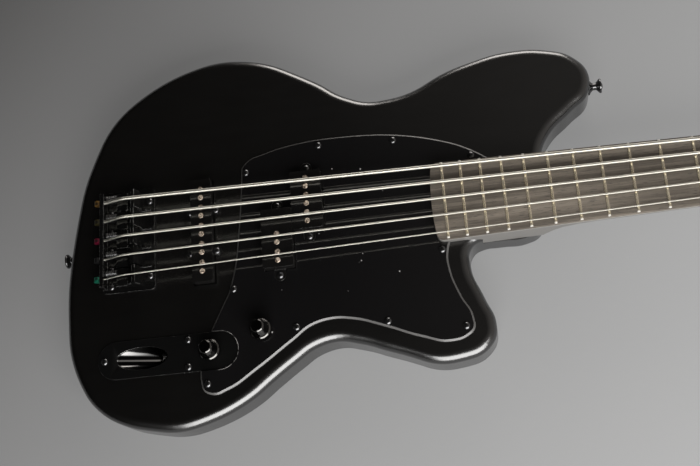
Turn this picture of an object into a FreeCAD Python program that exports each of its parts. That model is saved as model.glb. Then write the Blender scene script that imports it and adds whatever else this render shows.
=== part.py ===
import FreeCAD, Part
import math
import os
import re

Vector = FreeCAD.Vector
Rotation = FreeCAD.Rotation

# The bass lies on its back: X runs from the bridge to the headstock, Y to the bass side, Z out of its face.
# The origin is on the back, under the line where the open strings' scale ends at the saddles.

STRINGS = 5
FRETS = 20
BASS_SIDE_POSTS = 3

SIZES = {
    # Scale and strings, thickest first
    "scale_length": 864,
    "saddle_pitch": 17.75,
    "nut_pitch": 9.15,
    "saddle_rise": 4.2,
    "nut_rise": 1.7,
    "gauge_1": 3.3,
    "gauge_2": 2.66,
    "gauge_3": 2.16,
    "gauge_4": 1.66,
    "gauge_5": 1.14,
    "bend_radius": 20,
    "winding_gap": 0.6,
    # Neck, board and frets
    "nut_width": 45,
    "heel_width": 70.5,
    "heel_depth": 22,
    "heel_length": 97,
    "shaft_depth_nut": 15.3,
    "shaft_depth_heel": 18.5,
    "board_thickness": 5.7,
    "board_radius": 305,
    "board_overrun": 11.5,
    "board_end_sag": 2.6,
    "board_corner": 6,
    "nut_thickness": 5,
    "nut_height": 9,
    "fret_width": 2.4,
    "fret_height": 1.0,
    "tang_width": 0.6,
    "tang_depth": 2.0,
    "truss_rod_radius": 3,
    # Headstock and tuners
    "head_length": 190,
    "head_half_width": 43,
    "head_thickness": 14,
    "head_drop": 6.8,
    "post_radius": 5,
    "post_height": 19,
    "post_offset": 27,
    "post_pitch": 43,
    "first_post_bass": 56,
    "first_post_treble": 71,
    "housing_length": 26,
    "housing_width": 22,
    "housing_depth": 12.5,
    "key_shaft_radius": 2.5,
    "key_length": 24,
    "key_width": 19,
    "key_thickness": 6,
    # Body
    "body_thickness": 42,
    "tail_reach": 75,
    "horn_reach": 411,
    "bass_half_width": 170.5,
    "treble_half_width": 175,
    "edge_round": 8,
    "heel_shoulder": 0.9,
    "pocket_depth": 15,
    # Pickguard and control plate
    "guard_thickness": 2.5,
    "guard_bevel": 1.5,
    "plate_thickness": 1.2,
    "plate_width": 33.4,
    "plate_tail": 44,
    "plate_length": 126.3,
    "plate_offset": 109,
    "cavity_floor": 8,
    # Jack dish
    "dish_radius": 10,
    "dish_wall": 1.2,
    "dish_slope": 25,
    "dish_centre": 4.3,
    "jack_bore": 3.2,
    "jack_depth": 22,
    # Controls
    "knob_1_x": 58.3,
    "knob_2_x": 104.3,
    "knob_2_offset": 95.9,
    "pot_radius": 12,
    "pot_depth": 13,
    "bush_radius": 4.5,
    "sleeve_radius": 3,
    "spindle_radius": 2,
    "lower_knob_radius": 9.4,
    "lower_knob_height": 6,
    "upper_knob_radius": 7.6,
    "upper_knob_height": 11,
    # Battery box
    "battery_length": 48.5,
    "battery_width": 26.5,
    "battery_depth": 17.5,
    "box_wall": 1.6,
    "lid_thickness": 1.6,
    "hinge_pin_radius": 0.7,
    # Pickups
    "split_bass_x": 151.1,
    "split_treble_x": 123,
    "split_length": 27.5,
    "split_width": 54,
    "split_top": 53,
    "split_screw_pitch": 64.4,
    "long_x": 54.6,
    "long_length": 19,
    "long_width": 96,
    "long_top": 51,
    "long_screw_length": 24.2,
    "long_screw_width": 38.6,
    "cover_wall": 1.5,
    "cover_depth": 4,
    "pole_radius": 2.4,
    "pole_half_gap": 3.9,
    "pole_stand": 0.8,
    # Bridge
    "bridge_tail": 38.5,
    "bridge_length": 48,
    "bridge_width": 96,
    "bridge_thickness": 2.5,
    "wall_thickness": 3.5,
    "wall_height": 13,
    "tail_hole_height": 9.5,
    "rib_width": 0.8,
    "rib_height": 1.2,
    "saddle_length": 22,
    "saddle_front": 2,
    "saddle_block": 5.7,
    "intonation_radius": 1.5,
    "intonation_height": 6,
    "intonation_offset": 5.5,
    "spring_radius": 2.3,
    "spring_wire": 0.8,
    "ball_radius": 3,
    "ball_width": 4.2,
    # Strap buttons
    "button_radius": 6.6,
    "button_length": 10.6,
    "felt_thickness": 1.5,
    # Fits
    "seat_gap": 0.3,
    "running_gap": 0.05,
    "pocket_gap": 0.1,
    "plate_gap": 0.4,
    "hole_gap": 0.1,
}

doc = FreeCAD.newDocument("bass_guitar")
sheet = doc.addObject("Spreadsheet::Sheet", "sizes")
for row, (alias, number) in enumerate(SIZES.items(), start=1):
    sheet.set(f"A{row}", alias)
    sheet.set(f"B{row}", str(number))
    sheet.setAlias(f"B{row}", alias)
doc.recompute()


def size(alias):
    return float(sheet.get(alias))


def linked(formula):
    """Writes a formula of plain size names as an expression on the sheet."""
    return re.sub(r"[a-z]\w*", lambda word: "sizes." + word.group(), formula)


def bind(item, **formulas):
    for name, formula in formulas.items():
        item.setExpression(name, linked(formula))
    return item


ALONG_X = Rotation(Vector(0, 1, 0), 90)
ALONG_Y = Rotation(Vector(1, 0, 0), -90)
UPRIGHT = Rotation()


def box(name, length, width, height, low):
    """A block whose low corner is given; its three sizes are formulas."""
    item = bind(doc.addObject("Part::Box", name), Length=length, Width=width, Height=height)
    item.Placement.Base = low
    return item


def cylinder(name, radius, height, base, turn=UPRIGHT):
    item = bind(doc.addObject("Part::Cylinder", name), Radius=radius, Height=height)
    item.Placement = FreeCAD.Placement(base, turn)
    return item


def cone(name, radius_1, radius_2, height, base, turn=UPRIGHT):
    item = bind(doc.addObject("Part::Cone", name), Radius1=radius_1, Radius2=radius_2, Height=height)
    item.Placement = FreeCAD.Placement(base, turn)
    return item


def prism(name, circumradius, height, base, turn=UPRIGHT):
    item = bind(doc.addObject("Part::Prism", name), Circumradius=circumradius, Height=height)
    item.Polygon = 6
    item.Placement = FreeCAD.Placement(base, turn)
    return item


def fuse(name, shapes):
    item = doc.addObject("Part::MultiFuse", name)
    item.Shapes = shapes
    return item


def cut(name, base, tools):
    item = doc.addObject("Part::Cut", name)
    item.Base = base
    item.Tool = tools[0] if len(tools) == 1 else fuse(name + "_cuts", tools)
    return item


def group(name, pieces):
    item = doc.addObject("Part::Compound", name)
    item.Links = pieces
    return item


def solid(name, shape):
    item = doc.addObject("Part::Feature", name)
    item.Shape = shape
    return item


def new_body(name):
    return doc.addObject("PartDesign::Body", name)


def new_sketch(body, name, role="XY_Plane", offset=0.0):
    """A sketch on one of the body's own origin planes, moved along that plane's normal."""
    sketch = body.newObject("Sketcher::SketchObject", name)
    plane = next(item for item in body.Origin.OriginFeatures if item.Role == role)
    sketch.AttachmentSupport = [(plane, "")]
    sketch.MapMode = "FlatFace"
    sketch.AttachmentOffset = FreeCAD.Placement(Vector(0, 0, offset), UPRIGHT)
    return sketch


def polyline(sketch, corners):
    for start, end in zip(corners, corners[1:]):
        sketch.addGeometry(Part.LineSegment(start, end))


def arc_between(start, end, heading, sense=1):
    """The arc that leaves start along a heading, or with sense -1 the one that arrives at end along it."""
    chord = end - start
    lean = heading * sense
    bulge = lean - chord * (lean.dot(chord) / chord.dot(chord))
    if bulge.Length < 1e-6:
        return Part.LineSegment(start, end)
    depth = chord.Length / 2 * math.tan(heading.getAngle(chord) / 2)
    return Part.Arc(start, (start + end) * 0.5 + bulge.normalize() * depth, end)


def biarc(start, heading, end, final):
    """Two arcs from start to end that keep both headings."""
    run = end - start
    slack = run.dot(heading + final)
    turn = 2 * (1 - heading.dot(final))
    reach = run.dot(run) / (slack + math.sqrt(slack ** 2 + turn * run.dot(run)))
    middle = (start + heading * reach + end - final * reach) * 0.5
    return [arc_between(start, middle, heading), arc_between(middle, end, final, -1)]


def headings_through(points, closed):
    """The heading at each point of an outline: that of the circle through it and its neighbours."""
    headings = []
    for n, point in enumerate(points):
        before = point - points[n - 1]
        after = points[(n + 1) % len(points)] - point
        heading = before * (after.Length / before.Length) + after * (before.Length / after.Length)
        headings.append(heading.normalize())
    if not closed:
        for end, inner in ((0, 1), (-1, -2)):
            chord = (points[inner] - points[end]).normalize()
            headings[end] = chord * (2 * chord.dot(headings[inner])) - headings[inner]
    return headings


def smooth(sketch, points, closed=False):
    """Draws arcs that meet smoothly through all the points."""
    headings = headings_through(points, closed)
    stops = list(zip(points, headings))
    if closed:
        stops.append(stops[0])
    for (start, heading), (end, final) in zip(stops, stops[1:]):
        sketch.addGeometry(biarc(start, heading, end, final))


def pad(body, sketch, length, midplane=False):
    item = bind(body.newObject("PartDesign::Pad", sketch.Name + "_pad"), Length=length)
    item.Profile = sketch
    item.Midplane = midplane
    return item


def edge_names(feature, chosen):
    doc.recompute()
    return [f"Edge{n}" for n, edge in enumerate(feature.Shape.Edges, start=1) if chosen(edge)]


def dress(body, feature, kind, edges, **formulas):
    """A fillet or chamfer on named edges of a feature."""
    item = bind(body.newObject("PartDesign::" + kind, feature.Name + "_" + kind.lower()), **formulas)
    item.Base = (feature, edges)
    return item


def lies_at(edge, height):
    return all(abs(vertex.Z - height) < 1e-6 for vertex in edge.Vertexes) and edge.BoundBox.ZLength < 1e-6


def upright(edge):
    return edge.BoundBox.ZLength > 1 and edge.BoundBox.XLength + edge.BoundBox.YLength < 1e-6


def rounded_block(name, length, width, height, corner, low, middle):
    """A block with round upright corners, middled on a point, standing on the height low."""
    body = new_body(name)
    sketch = new_sketch(body, name + "_plan", offset=low)
    half_x, half_y = length / 2, width / 2
    corners = [Vector(middle.x + a * half_x, middle.y + b * half_y, 0)
               for a, b in ((-1, -1), (1, -1), (1, 1), (-1, 1), (-1, -1))]
    polyline(sketch, corners)
    block = pad(body, sketch, height)
    dress(body, block, "Fillet", edge_names(block, upright), Radius=corner)
    return body


# Levels and places that several pieces share
body_top = size("body_thickness")
guard_top = body_top + size("guard_thickness")
plate_top = body_top + size("plate_thickness")
pocket_floor = body_top - size("pocket_depth")
board_floor = pocket_floor + size("heel_depth")
board_top = board_floor + size("board_thickness")
bridge_floor = body_top + size("bridge_thickness")
nut_front = size("scale_length")
nut_back = nut_front + size("nut_thickness")
head_top = board_floor - size("head_drop")
head_floor = head_top - size("head_thickness")
fret_places = [size("scale_length") * 2 ** (-n / 12) for n in range(1, FRETS + 1)]
board_end = fret_places[-1] - size("board_overrun")
heel_x = board_end + size("heel_length")
gauges = [size(f"gauge_{n}") / 2 for n in range(1, STRINGS + 1)]
plate_half = size("plate_width") / 2

# Reaches of the body that its outline and the places on its treble side were drawn for
DRAWN_TAIL, DRAWN_HORN, DRAWN_BASS, DRAWN_TREBLE = 75.0, 411.0, 170.5, 175.0
treble_stretch = size("treble_half_width") / DRAWN_TREBLE
plate_y = -size("plate_offset") * treble_stretch


def half_neck(x):
    """Half the width of neck and board at a place along the strings."""
    share = (nut_front - x) / (nut_front - board_end)
    return (size("nut_width") + share * (size("heel_width") - size("nut_width"))) / 2


def string_y(index, x):
    """The string's sideways place: the strings spread evenly from the nut to the saddles."""
    pitch = size("saddle_pitch") + (size("nut_pitch") - size("saddle_pitch")) * x / nut_front
    return ((STRINGS - 1) / 2 - index) * pitch


def string_z(index, x):
    """The height of a string's axis: its underside follows the board's crown, rising to the saddles."""
    rise = size("saddle_rise") + (size("nut_rise") - size("saddle_rise")) * x / nut_front
    crown = string_y(index, x) ** 2 / (2 * size("board_radius"))
    return board_top - crown + rise + gauges[index]


# Fasteners: a round head on a plain shank, pointing down or along any turn
def screw(name, head, head_height, shank, length, seat, turn=UPRIGHT):
    down = turn.multVec(Vector(0, 0, -1))
    return fuse(name, [
        cylinder(name + "_head", head, head_height, seat, turn),
        cylinder(name + "_shank", shank, length, seat + down * float(length), turn),
    ])


# Body outline, drawn at those reaches and stretched to the sheet's
def drawn(x, y):
    along = size("horn_reach") / DRAWN_HORN if x > 0 else size("tail_reach") / DRAWN_TAIL
    across = size("bass_half_width") / DRAWN_BASS if y > 0 else treble_stretch
    return Vector(x * along, y * across, 0)


bass_side = [
    (-68.9, 14.5), (-55.2, 74), (-28, 124.5), (4, 149), (40, 164.5), (74, 170.5), (104, 166.8), (163, 137.3),
    (190, 118), (211, 109.8), (232, 110), (298, 133.4), (338, 141), (372, 138.6), (396.8, 128.8), (410, 111.4),
    (408, 91.4), (389.5, 74.3), (372, 59.5)]
treble_side = [
    (288, -57.5), (297.3, -87), (304, -106), (302.4, -121.5), (296.6, -129), (266, -139), (214, -124.3),
    (190, -115.2), (168, -110.5), (148, -115), (131.5, -125.3), (111.3, -139.3), (94, -152), (60, -168), (22, -175),
    (2.4, -172.1), (-19.8, -166.2), (-38.9, -156.2), (-53, -142.8), (-62.9, -125.9), (-69.6, -108.5), (-75, -58)]
heel_half = half_neck(heel_x)
shoulder = heel_half + size("heel_shoulder")
heel_turn = [
    Vector(heel_x + 4.5, heel_half + 11.5, 0), Vector(heel_x + 0.5, heel_half - 5, 0), Vector(heel_x, 0, 0),
    Vector(heel_x - 1.7, 11.5 - heel_half, 0), Vector(heel_x - 7.7, 4.5 - shoulder, 0),
    Vector(heel_x - 20, -shoulder, 0), Vector(heel_x - 42, -shoulder - 0.4, 0),
    Vector(heel_x - 57, -shoulder - 1, 0), Vector(heel_x - 64, -shoulder - 3.7, 0),
    Vector(heel_x - 68.7, -shoulder - 9.5, 0)]
outline = [drawn(*p) for p in bass_side] + heel_turn + [drawn(*p) for p in treble_side]

blank = new_body("body_blank")
outline_sketch = new_sketch(blank, "body_outline")
smooth(outline_sketch, outline, closed=True)
slab = pad(blank, outline_sketch, "body_thickness")
rims = edge_names(slab, lambda edge: lies_at(edge, 0) or lies_at(edge, body_top))
dress(blank, slab, "Fillet", rims, Radius="edge_round")


# Neck plan: the taper of neck and board, with the bowed end towards the pickups
def neck_plan(name, gap, far_x, floor, depth, corner):
    body = new_body(name)
    sketch = new_sketch(body, name + "_plan", offset=floor)
    near = board_end + size("board_end_sag") - gap
    high = Vector(near, half_neck(near) + gap, 0)
    low = Vector(near, -high.y, 0)
    far_half = half_neck(far_x) + gap
    sketch.addGeometry(Part.Arc(high, Vector(board_end - gap, 0, 0), low))
    polyline(sketch, [low, Vector(far_x, -far_half, 0), Vector(far_x, far_half, 0), high])
    block = pad(body, sketch, depth)
    ends = edge_names(block, lambda edge: upright(edge) and edge.CenterOfMass.x < board_end + 5)
    dress(body, block, "Fillet", ends, Radius=corner)
    return body


# Cavities under the pickups, the controls and the battery
split_y = string_y(1, size("split_bass_x"))
splits = [Vector(size("split_bass_x"), split_y, 0), Vector(size("split_treble_x"), -split_y, 0)]
long_middle = Vector(size("long_x"), 0, 0)
PICKUP_FLOOR = 22.0
CAVITY_ROOM = 1.5


def cavity(name, middle, length, width, floor):
    return box(name, f"{length} + {CAVITY_ROOM}", f"{width} + {CAVITY_ROOM}", f"body_thickness - {floor}",
               Vector(middle.x - (size(length) + CAVITY_ROOM) / 2,
                      middle.y - (size(width) + CAVITY_ROOM) / 2, floor))


knobs = [Vector(size("knob_1_x"), plate_y, plate_top),
         Vector(size("knob_2_x"), -size("knob_2_offset") * treble_stretch, guard_top)]
cavity_floor = size("cavity_floor")
JACK_ROOM_TAIL, JACK_ROOM_END, JACK_ROOM_HALF = -30.0, 33.0, 12.2
CHANNEL_HALF = 9.0
PREAMP_LENGTH, PREAMP_WIDTH, PREAMP_THICKNESS = 30.0, 22.0, 1.6
preamp_low = Vector(knobs[1].x - PREAMP_LENGTH / 2, knobs[1].y - PREAMP_WIDTH / 2, cavity_floor)
room = "body_thickness - cavity_floor"
control_cavity = [
    box("jack_room", f"{JACK_ROOM_END - JACK_ROOM_TAIL}", f"{2 * JACK_ROOM_HALF}", room,
        Vector(JACK_ROOM_TAIL, plate_y - JACK_ROOM_HALF, cavity_floor)),
    box("ear_channel", f"knob_1_x - {JACK_ROOM_END - 1}", f"{2 * CHANNEL_HALF}", room,
        Vector(JACK_ROOM_END - 1, plate_y - CHANNEL_HALF, cavity_floor)),
    box("wire_channel", "knob_2_x - knob_1_x", f"{2 * CHANNEL_HALF}", room,
        Vector(knobs[0].x, (plate_y + knobs[1].y) / 2 - CHANNEL_HALF, cavity_floor)),
    box("preamp_room", f"{PREAMP_LENGTH + 4}", f"{PREAMP_WIDTH + 4}", room, preamp_low - Vector(2, 2, 0)),
]
for n, place in enumerate(knobs, start=1):
    control_cavity.append(cylinder(f"pot_room_{n}", "pot_radius + 2", room, Vector(place.x, place.y, cavity_floor)))

box_wall = size("box_wall")
BATTERY_X, BATTERY_Y = -9.0, -71.0 * treble_stretch
BATTERY_ROOM = 3.0
box_length = f"battery_length + {BATTERY_ROOM} + 2 * box_wall"
box_width = f"battery_width + {BATTERY_ROOM} + 2 * box_wall"
BATTERY_LIFT = 4.0
box_depth = f"battery_depth + {BATTERY_LIFT} + box_wall"
box_half_x = (size("battery_length") + BATTERY_ROOM) / 2 + box_wall
box_half_y = (size("battery_width") + BATTERY_ROOM) / 2 + box_wall
box_low = Vector(BATTERY_X - box_half_x, BATTERY_Y - box_half_y, 0)
hole_gap = size("hole_gap")
battery_hole = box("battery_hole", f"{box_length} + 2 * hole_gap", f"{box_width} + 2 * hole_gap", box_depth,
                   box_low - Vector(hole_gap, hole_gap, 0))

# Neck bolts pass through the body from recessed ferrules in the back
neck_screws = [Vector(board_end + along, side * 19.0, 0) for along in (20.0, 62.0) for side in (1, -1)]
pilots = []
FERRULE_RADIUS, FERRULE_HEIGHT, FERRULE_INSET = 7.0, 5.0, 0.3
for n, place in enumerate(neck_screws):
    pilots.append(cylinder(f"neck_pilot_{n}", "2.4 + hole_gap", "body_thickness", place))
    pilots.append(cylinder(f"ferrule_seat_{n}", f"{FERRULE_RADIUS} + hole_gap", f"{FERRULE_HEIGHT + FERRULE_INSET}",
                           place))

# Strap buttons sit on flats cut into the tail and the tip of the bass horn
BUTTON_FLAT = 0.7
tail_flat = Vector(drawn(-71.6, -5.1).x + BUTTON_FLAT, -5.1, body_top / 2)
horn_flat = Vector(drawn(410.6, 0).x - BUTTON_FLAT - 0.5, drawn(0, 102.6).y, body_top / 2)
ALONG_TAIL = Rotation(Vector(0, 1, 0), -90)
button_seats = [(tail_flat, ALONG_TAIL), (horn_flat, ALONG_X)]
for n, (seat, turn) in enumerate(button_seats):
    pilots.append(cylinder(f"button_flat_{n}", "button_radius + 1", "5", seat, turn))

pocket = neck_plan("pocket", size("pocket_gap"), nut_front, pocket_floor, "pocket_depth + 1",
                   "board_corner + pocket_gap")
ledge_start = heel_x - 57
ledge_room = box("ledge_room", f"{heel_x - ledge_start + 20}", "heel_width", "pocket_depth + 1",
                 Vector(ledge_start, -size("heel_width"), pocket_floor))
pickup_rooms = [cavity(f"split_room_{n}", place, "split_length", "split_width", PICKUP_FLOOR)
                for n, place in enumerate(splits)]
pickup_rooms.append(cavity("long_room", long_middle, "long_length", "long_width", PICKUP_FLOOR))
cut("body", blank, [pocket, ledge_room, battery_hole] + pickup_rooms + control_cavity + pilots)

# Neck: square heel, rounded shaft, and a flat headstock set below the board


def neck_section(body, name, x, half, depth, corner=None):
    """A section under the board: straight sides, then a corner of this height that runs on to the keel."""
    corner = corner or 0.97 * depth
    sketch = new_sketch(body, name, "YZ_Plane", x)
    down, inward = Vector(0, -1, 0), Vector(-1, 0, 0)
    top = Vector(half, board_floor, 0)
    side = top + down * (depth - corner)
    keel = Vector(0, board_floor - depth, 0)
    near = min(0.95 * corner, 0.34 * half)
    far = (half ** 2 + corner ** 2 - 2 * corner * near) / (2 * (half + near))
    turn = ((side + down * near) * far + (keel - inward * far) * near) * (1 / (near + far))
    mirrored = [Vector(-point.x, point.y, 0) for point in (turn, side, top)]
    sketch.addGeometry([
        Part.LineSegment(top, side), arc_between(side, turn, down), arc_between(turn, keel, inward, -1),
        arc_between(keel, mirrored[0], inward), arc_between(mirrored[0], mirrored[1], down * -1, -1),
        Part.LineSegment(mirrored[1], mirrored[2]), Part.LineSegment(mirrored[2], top)])
    return sketch


def loft(body, name, sections, ruled):
    item = body.newObject("PartDesign::AdditiveLoft", name)
    item.Profile = sections[0]
    item.Sections = sections[1:]
    item.Ruled = ruled
    return item


neck_blank = neck_plan("neck_blank", 0, heel_x - 4, pocket_floor, "heel_depth", "board_corner")
heel_drop = size("heel_depth") - size("shaft_depth_heel")
heel_steps = [(-4, 0, 1.5), (1, 0.03, 7), (5, 0.1, 11.5), (12, 0.33, 15.5), (24, 0.72, 17.6), (42, 1, None)]
shaft_sections = [
    neck_section(neck_blank, f"heel_step_{step}", heel_x + along, half_neck(heel_x + along),
                 size("heel_depth") - heel_drop * share, corner)
    for step, (along, share, corner) in enumerate(heel_steps, 1)]
HEAD_START = nut_back + 36
head_depth = board_floor - head_floor
head_start_half = 0.77 * size("head_half_width")
head_steps = [(0, 0), (8, 0.1), (16, 0.29), (26, 0.62), (36, 1)]
for step, (along, share) in enumerate(head_steps, 1):
    half = half_neck(nut_back) * (1 - share) + head_start_half * share
    deepening = (head_depth - size("shaft_depth_nut")) * along / 36
    shaft_sections.append(neck_section(
        neck_blank, f"head_step_{step}", nut_back + along, half, size("shaft_depth_nut") + deepening))
loft(neck_blank, "shaft", shaft_sections, True)


def head_point(along, across):
    """A point of the headstock's outline, in millimetres past the nut, at its drawn length and width."""
    return Vector(nut_back + along * size("head_length") / 190, across * size("head_half_width") / 43, 0)


head_sketch = new_sketch(neck_blank, "head_outline", offset=head_floor)
head_rim = [Vector(HEAD_START, head_start_half, 0)]
head_rim += [head_point(*p) for p in (
    (66, 40.5), (105, 43), (150, 41), (180, 27), (190, 4), (179, -21), (148, -38), (105, -42.5), (66, -40.5))]
head_rim.append(Vector(HEAD_START, -head_start_half, 0))
smooth(head_sketch, head_rim)
head_sketch.addGeometry(Part.LineSegment(head_rim[-1], head_rim[0]))
pad(neck_blank, head_sketch, "head_drop + head_thickness")

SCOOP_RADIUS = 22.0
SCOOP_START = nut_back + 3
scoop_run = math.sqrt(SCOOP_RADIUS ** 2 - (SCOOP_RADIUS - size("head_drop")) ** 2)
scoop_reach = f"head_length + {SCOOP_START - nut_back}"
scoop = fuse("scoop", [
    cylinder("scoop_round", f"{SCOOP_RADIUS}", "head_half_width * 3",
             Vector(SCOOP_START + scoop_run, -1.5 * size("head_half_width"), head_top + SCOOP_RADIUS), ALONG_Y),
    box("scoop_flat", scoop_reach, "head_half_width * 3", f"{SCOOP_RADIUS}",
        Vector(SCOOP_START + scoop_run, -1.5 * size("head_half_width"), head_top)),
])

# Tuner places: three on the bass side and the rest on the treble side, the outer strings nearest the nut
tuners = []
for n in range(STRINGS):
    bass = n < BASS_SIDE_POSTS
    order = n if bass else STRINGS - 1 - n
    first = size("first_post_bass") if bass else size("first_post_treble")
    side = 1 if bass else -1
    tuners.append((Vector(nut_back + first + order * size("post_pitch"), side * size("post_offset"), 0), side))
BUSHING_WALL = 1.9
head_holes = [cylinder(f"head_hole_{n}", f"post_radius + running_gap + {BUSHING_WALL} + hole_gap", "head_thickness + 2",
                       Vector(place.x, place.y, head_floor - 1)) for n, (place, side) in enumerate(tuners)]

rod_radius = size("truss_rod_radius")
rod_z = board_floor - rod_radius - 1.2
rod_start = board_end + 14
ROD_NUT_LENGTH = 10.0
rod_slot = box("rod_slot", f"{nut_back - rod_start + 2}", "2 * (truss_rod_radius + hole_gap)",
               "truss_rod_radius + hole_gap + 1.2 + truss_rod_radius",
               Vector(rod_start - 2, -rod_radius - hole_gap, rod_z - rod_radius - hole_gap))
rod_access = cylinder("rod_access", "truss_rod_radius + 1.5", "34",
                      Vector(nut_back, 0, rod_z), ALONG_X)
neck_holes = [cylinder(f"neck_hole_{n}", "2.4 + hole_gap", "body_thickness - 4",
                       Vector(place.x, place.y, 0)) for n, place in enumerate(neck_screws)]
cut("neck", neck_blank, [scoop, rod_slot, rod_access] + head_holes + neck_holes)

rod = cylinder("rod_bar", "truss_rod_radius", f"{nut_back - rod_start + 6}", Vector(rod_start, 0, rod_z), ALONG_X)
rod_nut = prism("rod_nut", "truss_rod_radius + 1", f"{ROD_NUT_LENGTH}", Vector(nut_back + 2, 0, rod_z), ALONG_X)
fuse("truss_rod", [rod, rod_nut])

# Fingerboard: crowned across, with a slot under each fret
crown_radius = size("board_radius")
board_blank = neck_plan("board_blank", 0, nut_front, board_floor, "board_thickness", "board_corner")
board_crown = cylinder("board_crown", "board_radius", f"{nut_front - board_end + 2}",
                       Vector(board_end - 1, 0, board_top - crown_radius), ALONG_X)
crowned = doc.addObject("Part::Common", "crowned_board")
crowned.Base = board_blank
crowned.Tool = board_crown
slots = []
for n, x in enumerate(fret_places, start=1):
    slots.append(box(f"fret_slot_{n}", "tang_width + hole_gap", "heel_width + 4", "board_thickness",
                     Vector(x - (size("tang_width") + hole_gap) / 2, -size("heel_width") / 2 - 2,
                            board_top - crown_radius + math.sqrt(crown_radius ** 2 - half_neck(x) ** 2)
                            - size("tang_depth"))))
slot_group = group("fret_slots", slots)
board = doc.addObject("Part::Cut", "fingerboard")
board.Base = crowned
board.Tool = slot_group


# Frets: a bevelled bead on a tang, swept round the board's crown
def fret(x):
    sweep = math.asin((half_neck(x) - 0.3) / crown_radius)
    axis = Vector(x, 0, board_top - crown_radius)
    bead, tang, height = size("fret_width") / 2, size("tang_width") / 2, size("fret_height")
    root = crown_radius - size("tang_depth") + hole_gap
    shoulder_low, shoulder_in = crown_radius + 0.4 * height, bead - 0.6 * height
    profile = [
        (-bead, crown_radius), (-bead, shoulder_low), (-shoulder_in, crown_radius + height),
        (shoulder_in, crown_radius + height), (bead, shoulder_low), (bead, crown_radius), (tang, crown_radius),
        (tang, root), (-tang, root), (-tang, crown_radius), (-bead, crown_radius)]
    rim = [axis + Vector(along, radius * math.sin(sweep), radius * math.cos(sweep)) for along, radius in profile]
    return Part.Face(Part.makePolygon(rim)).revolve(axis, Vector(1, 0, 0), math.degrees(2 * sweep))


solid("frets", Part.makeCompound([fret(x) for x in fret_places]))

# Nut, slotted for each string
nut_block = box("nut_block", "nut_thickness", "nut_width", "nut_height",
                Vector(nut_front, -size("nut_width") / 2, board_floor))
nut_slots = []
for n in range(STRINGS):
    axis = Vector(nut_front - 1, string_y(n, nut_front), string_z(n, nut_front))
    nut_slots.append(cylinder(f"nut_slot_{n}", f"gauge_{n + 1} / 2 + hole_gap", "nut_thickness + 2", axis, ALONG_X))
    nut_slots.append(box(f"nut_mouth_{n}", "nut_thickness + 2", f"gauge_{n + 1} + 2 * hole_gap", "nut_height",
                         axis - Vector(0, gauges[n] + hole_gap, 0)))
cut("nut", nut_block, nut_slots)

# Neck screws and their recessed ferrules in the back
NECK_SCREW_HEAD = 4.4
SCREW_SEAT = 3.0
DOWNWARD = Rotation(Vector(1, 0, 0), 180)
ferrules = []
bolts = []
for n, place in enumerate(neck_screws):
    base = Vector(place.x, place.y, FERRULE_INSET)
    ring = cylinder(f"ferrule_ring_{n}", f"{FERRULE_RADIUS}", f"{FERRULE_HEIGHT}", base)
    bore = cylinder(f"ferrule_bore_{n}", "2.4 + hole_gap", f"{FERRULE_HEIGHT}", base)
    sink = cylinder(f"ferrule_sink_{n}", f"{NECK_SCREW_HEAD} + hole_gap", f"{SCREW_SEAT}", base)
    ferrules.append(cut(f"ferrule_{n}", ring, [bore, sink]))
    bolts.append(screw(f"neck_bolt_{n}", f"{NECK_SCREW_HEAD}", "2.5", "2.4", "34",
                       base + Vector(0, 0, SCREW_SEAT), DOWNWARD))
group("neck_ferrules", ferrules)
group("neck_screws", bolts)

# Control plate: a stadium of sheet with a sloping dish pressed in for the jack
slope = math.radians(size("dish_slope"))
plug_way = Vector(-math.cos(slope), 0, math.sin(slope))
PLUG_TURN = Rotation(Vector(0, 0, 1), plug_way)
dish_axis = Vector(-size("dish_centre"), plate_y, plate_top)
dish_run = size("dish_radius") / math.tan(slope) + 1
jack_seat = dish_axis - plug_way * dish_run
dish_length = f"{2.5 * dish_run:.3f}"


def stadium(name, floor, thickness, gap):
    radius = plate_half + gap
    tail = plate_half - size("plate_tail")
    front = tail + size("plate_length") - size("plate_width")
    body = new_body(name)
    sketch = new_sketch(body, name + "_plan", offset=floor)
    corners = [Vector(tail, plate_y - radius, 0), Vector(front, plate_y - radius, 0),
               Vector(front, plate_y + radius, 0), Vector(tail, plate_y + radius, 0)]
    polyline(sketch, corners[:2])
    sketch.addGeometry(Part.Arc(corners[1], Vector(front + radius, plate_y, 0), corners[2]))
    polyline(sketch, corners[2:])
    sketch.addGeometry(Part.Arc(corners[3], Vector(tail - radius, plate_y, 0), corners[0]))
    pad(body, sketch, thickness)
    return body


sheet_plate = stadium("sheet_plate", body_top, "plate_thickness", 0)
cup_base = jack_seat - plug_way * 1.5
cup = cylinder("dish_cup", "dish_radius + dish_wall", dish_length, cup_base, PLUG_TURN)
OVER = 60.0
over_cup = box("over_cup", f"{2 * OVER}", f"{OVER}", f"{OVER}", Vector(-OVER, plate_y - OVER / 2, plate_top))
pressed = cut("pressed_plate", fuse("plate_and_cup", [sheet_plate, cup]), [over_cup])
dish = cylinder("dish_hollow", "dish_radius", dish_length, jack_seat, PLUG_TURN)
jack_hole = cylinder("jack_hole", "bush_radius + hole_gap", "6", jack_seat - plug_way * 4, PLUG_TURN)
pot_hole_1 = cylinder("pot_hole_1", "bush_radius + hole_gap", "plate_thickness * 3",
                      Vector(knobs[0].x, knobs[0].y, body_top - 1))
cut("control_plate", pressed, [dish, jack_hole, pot_hole_1])

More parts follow.
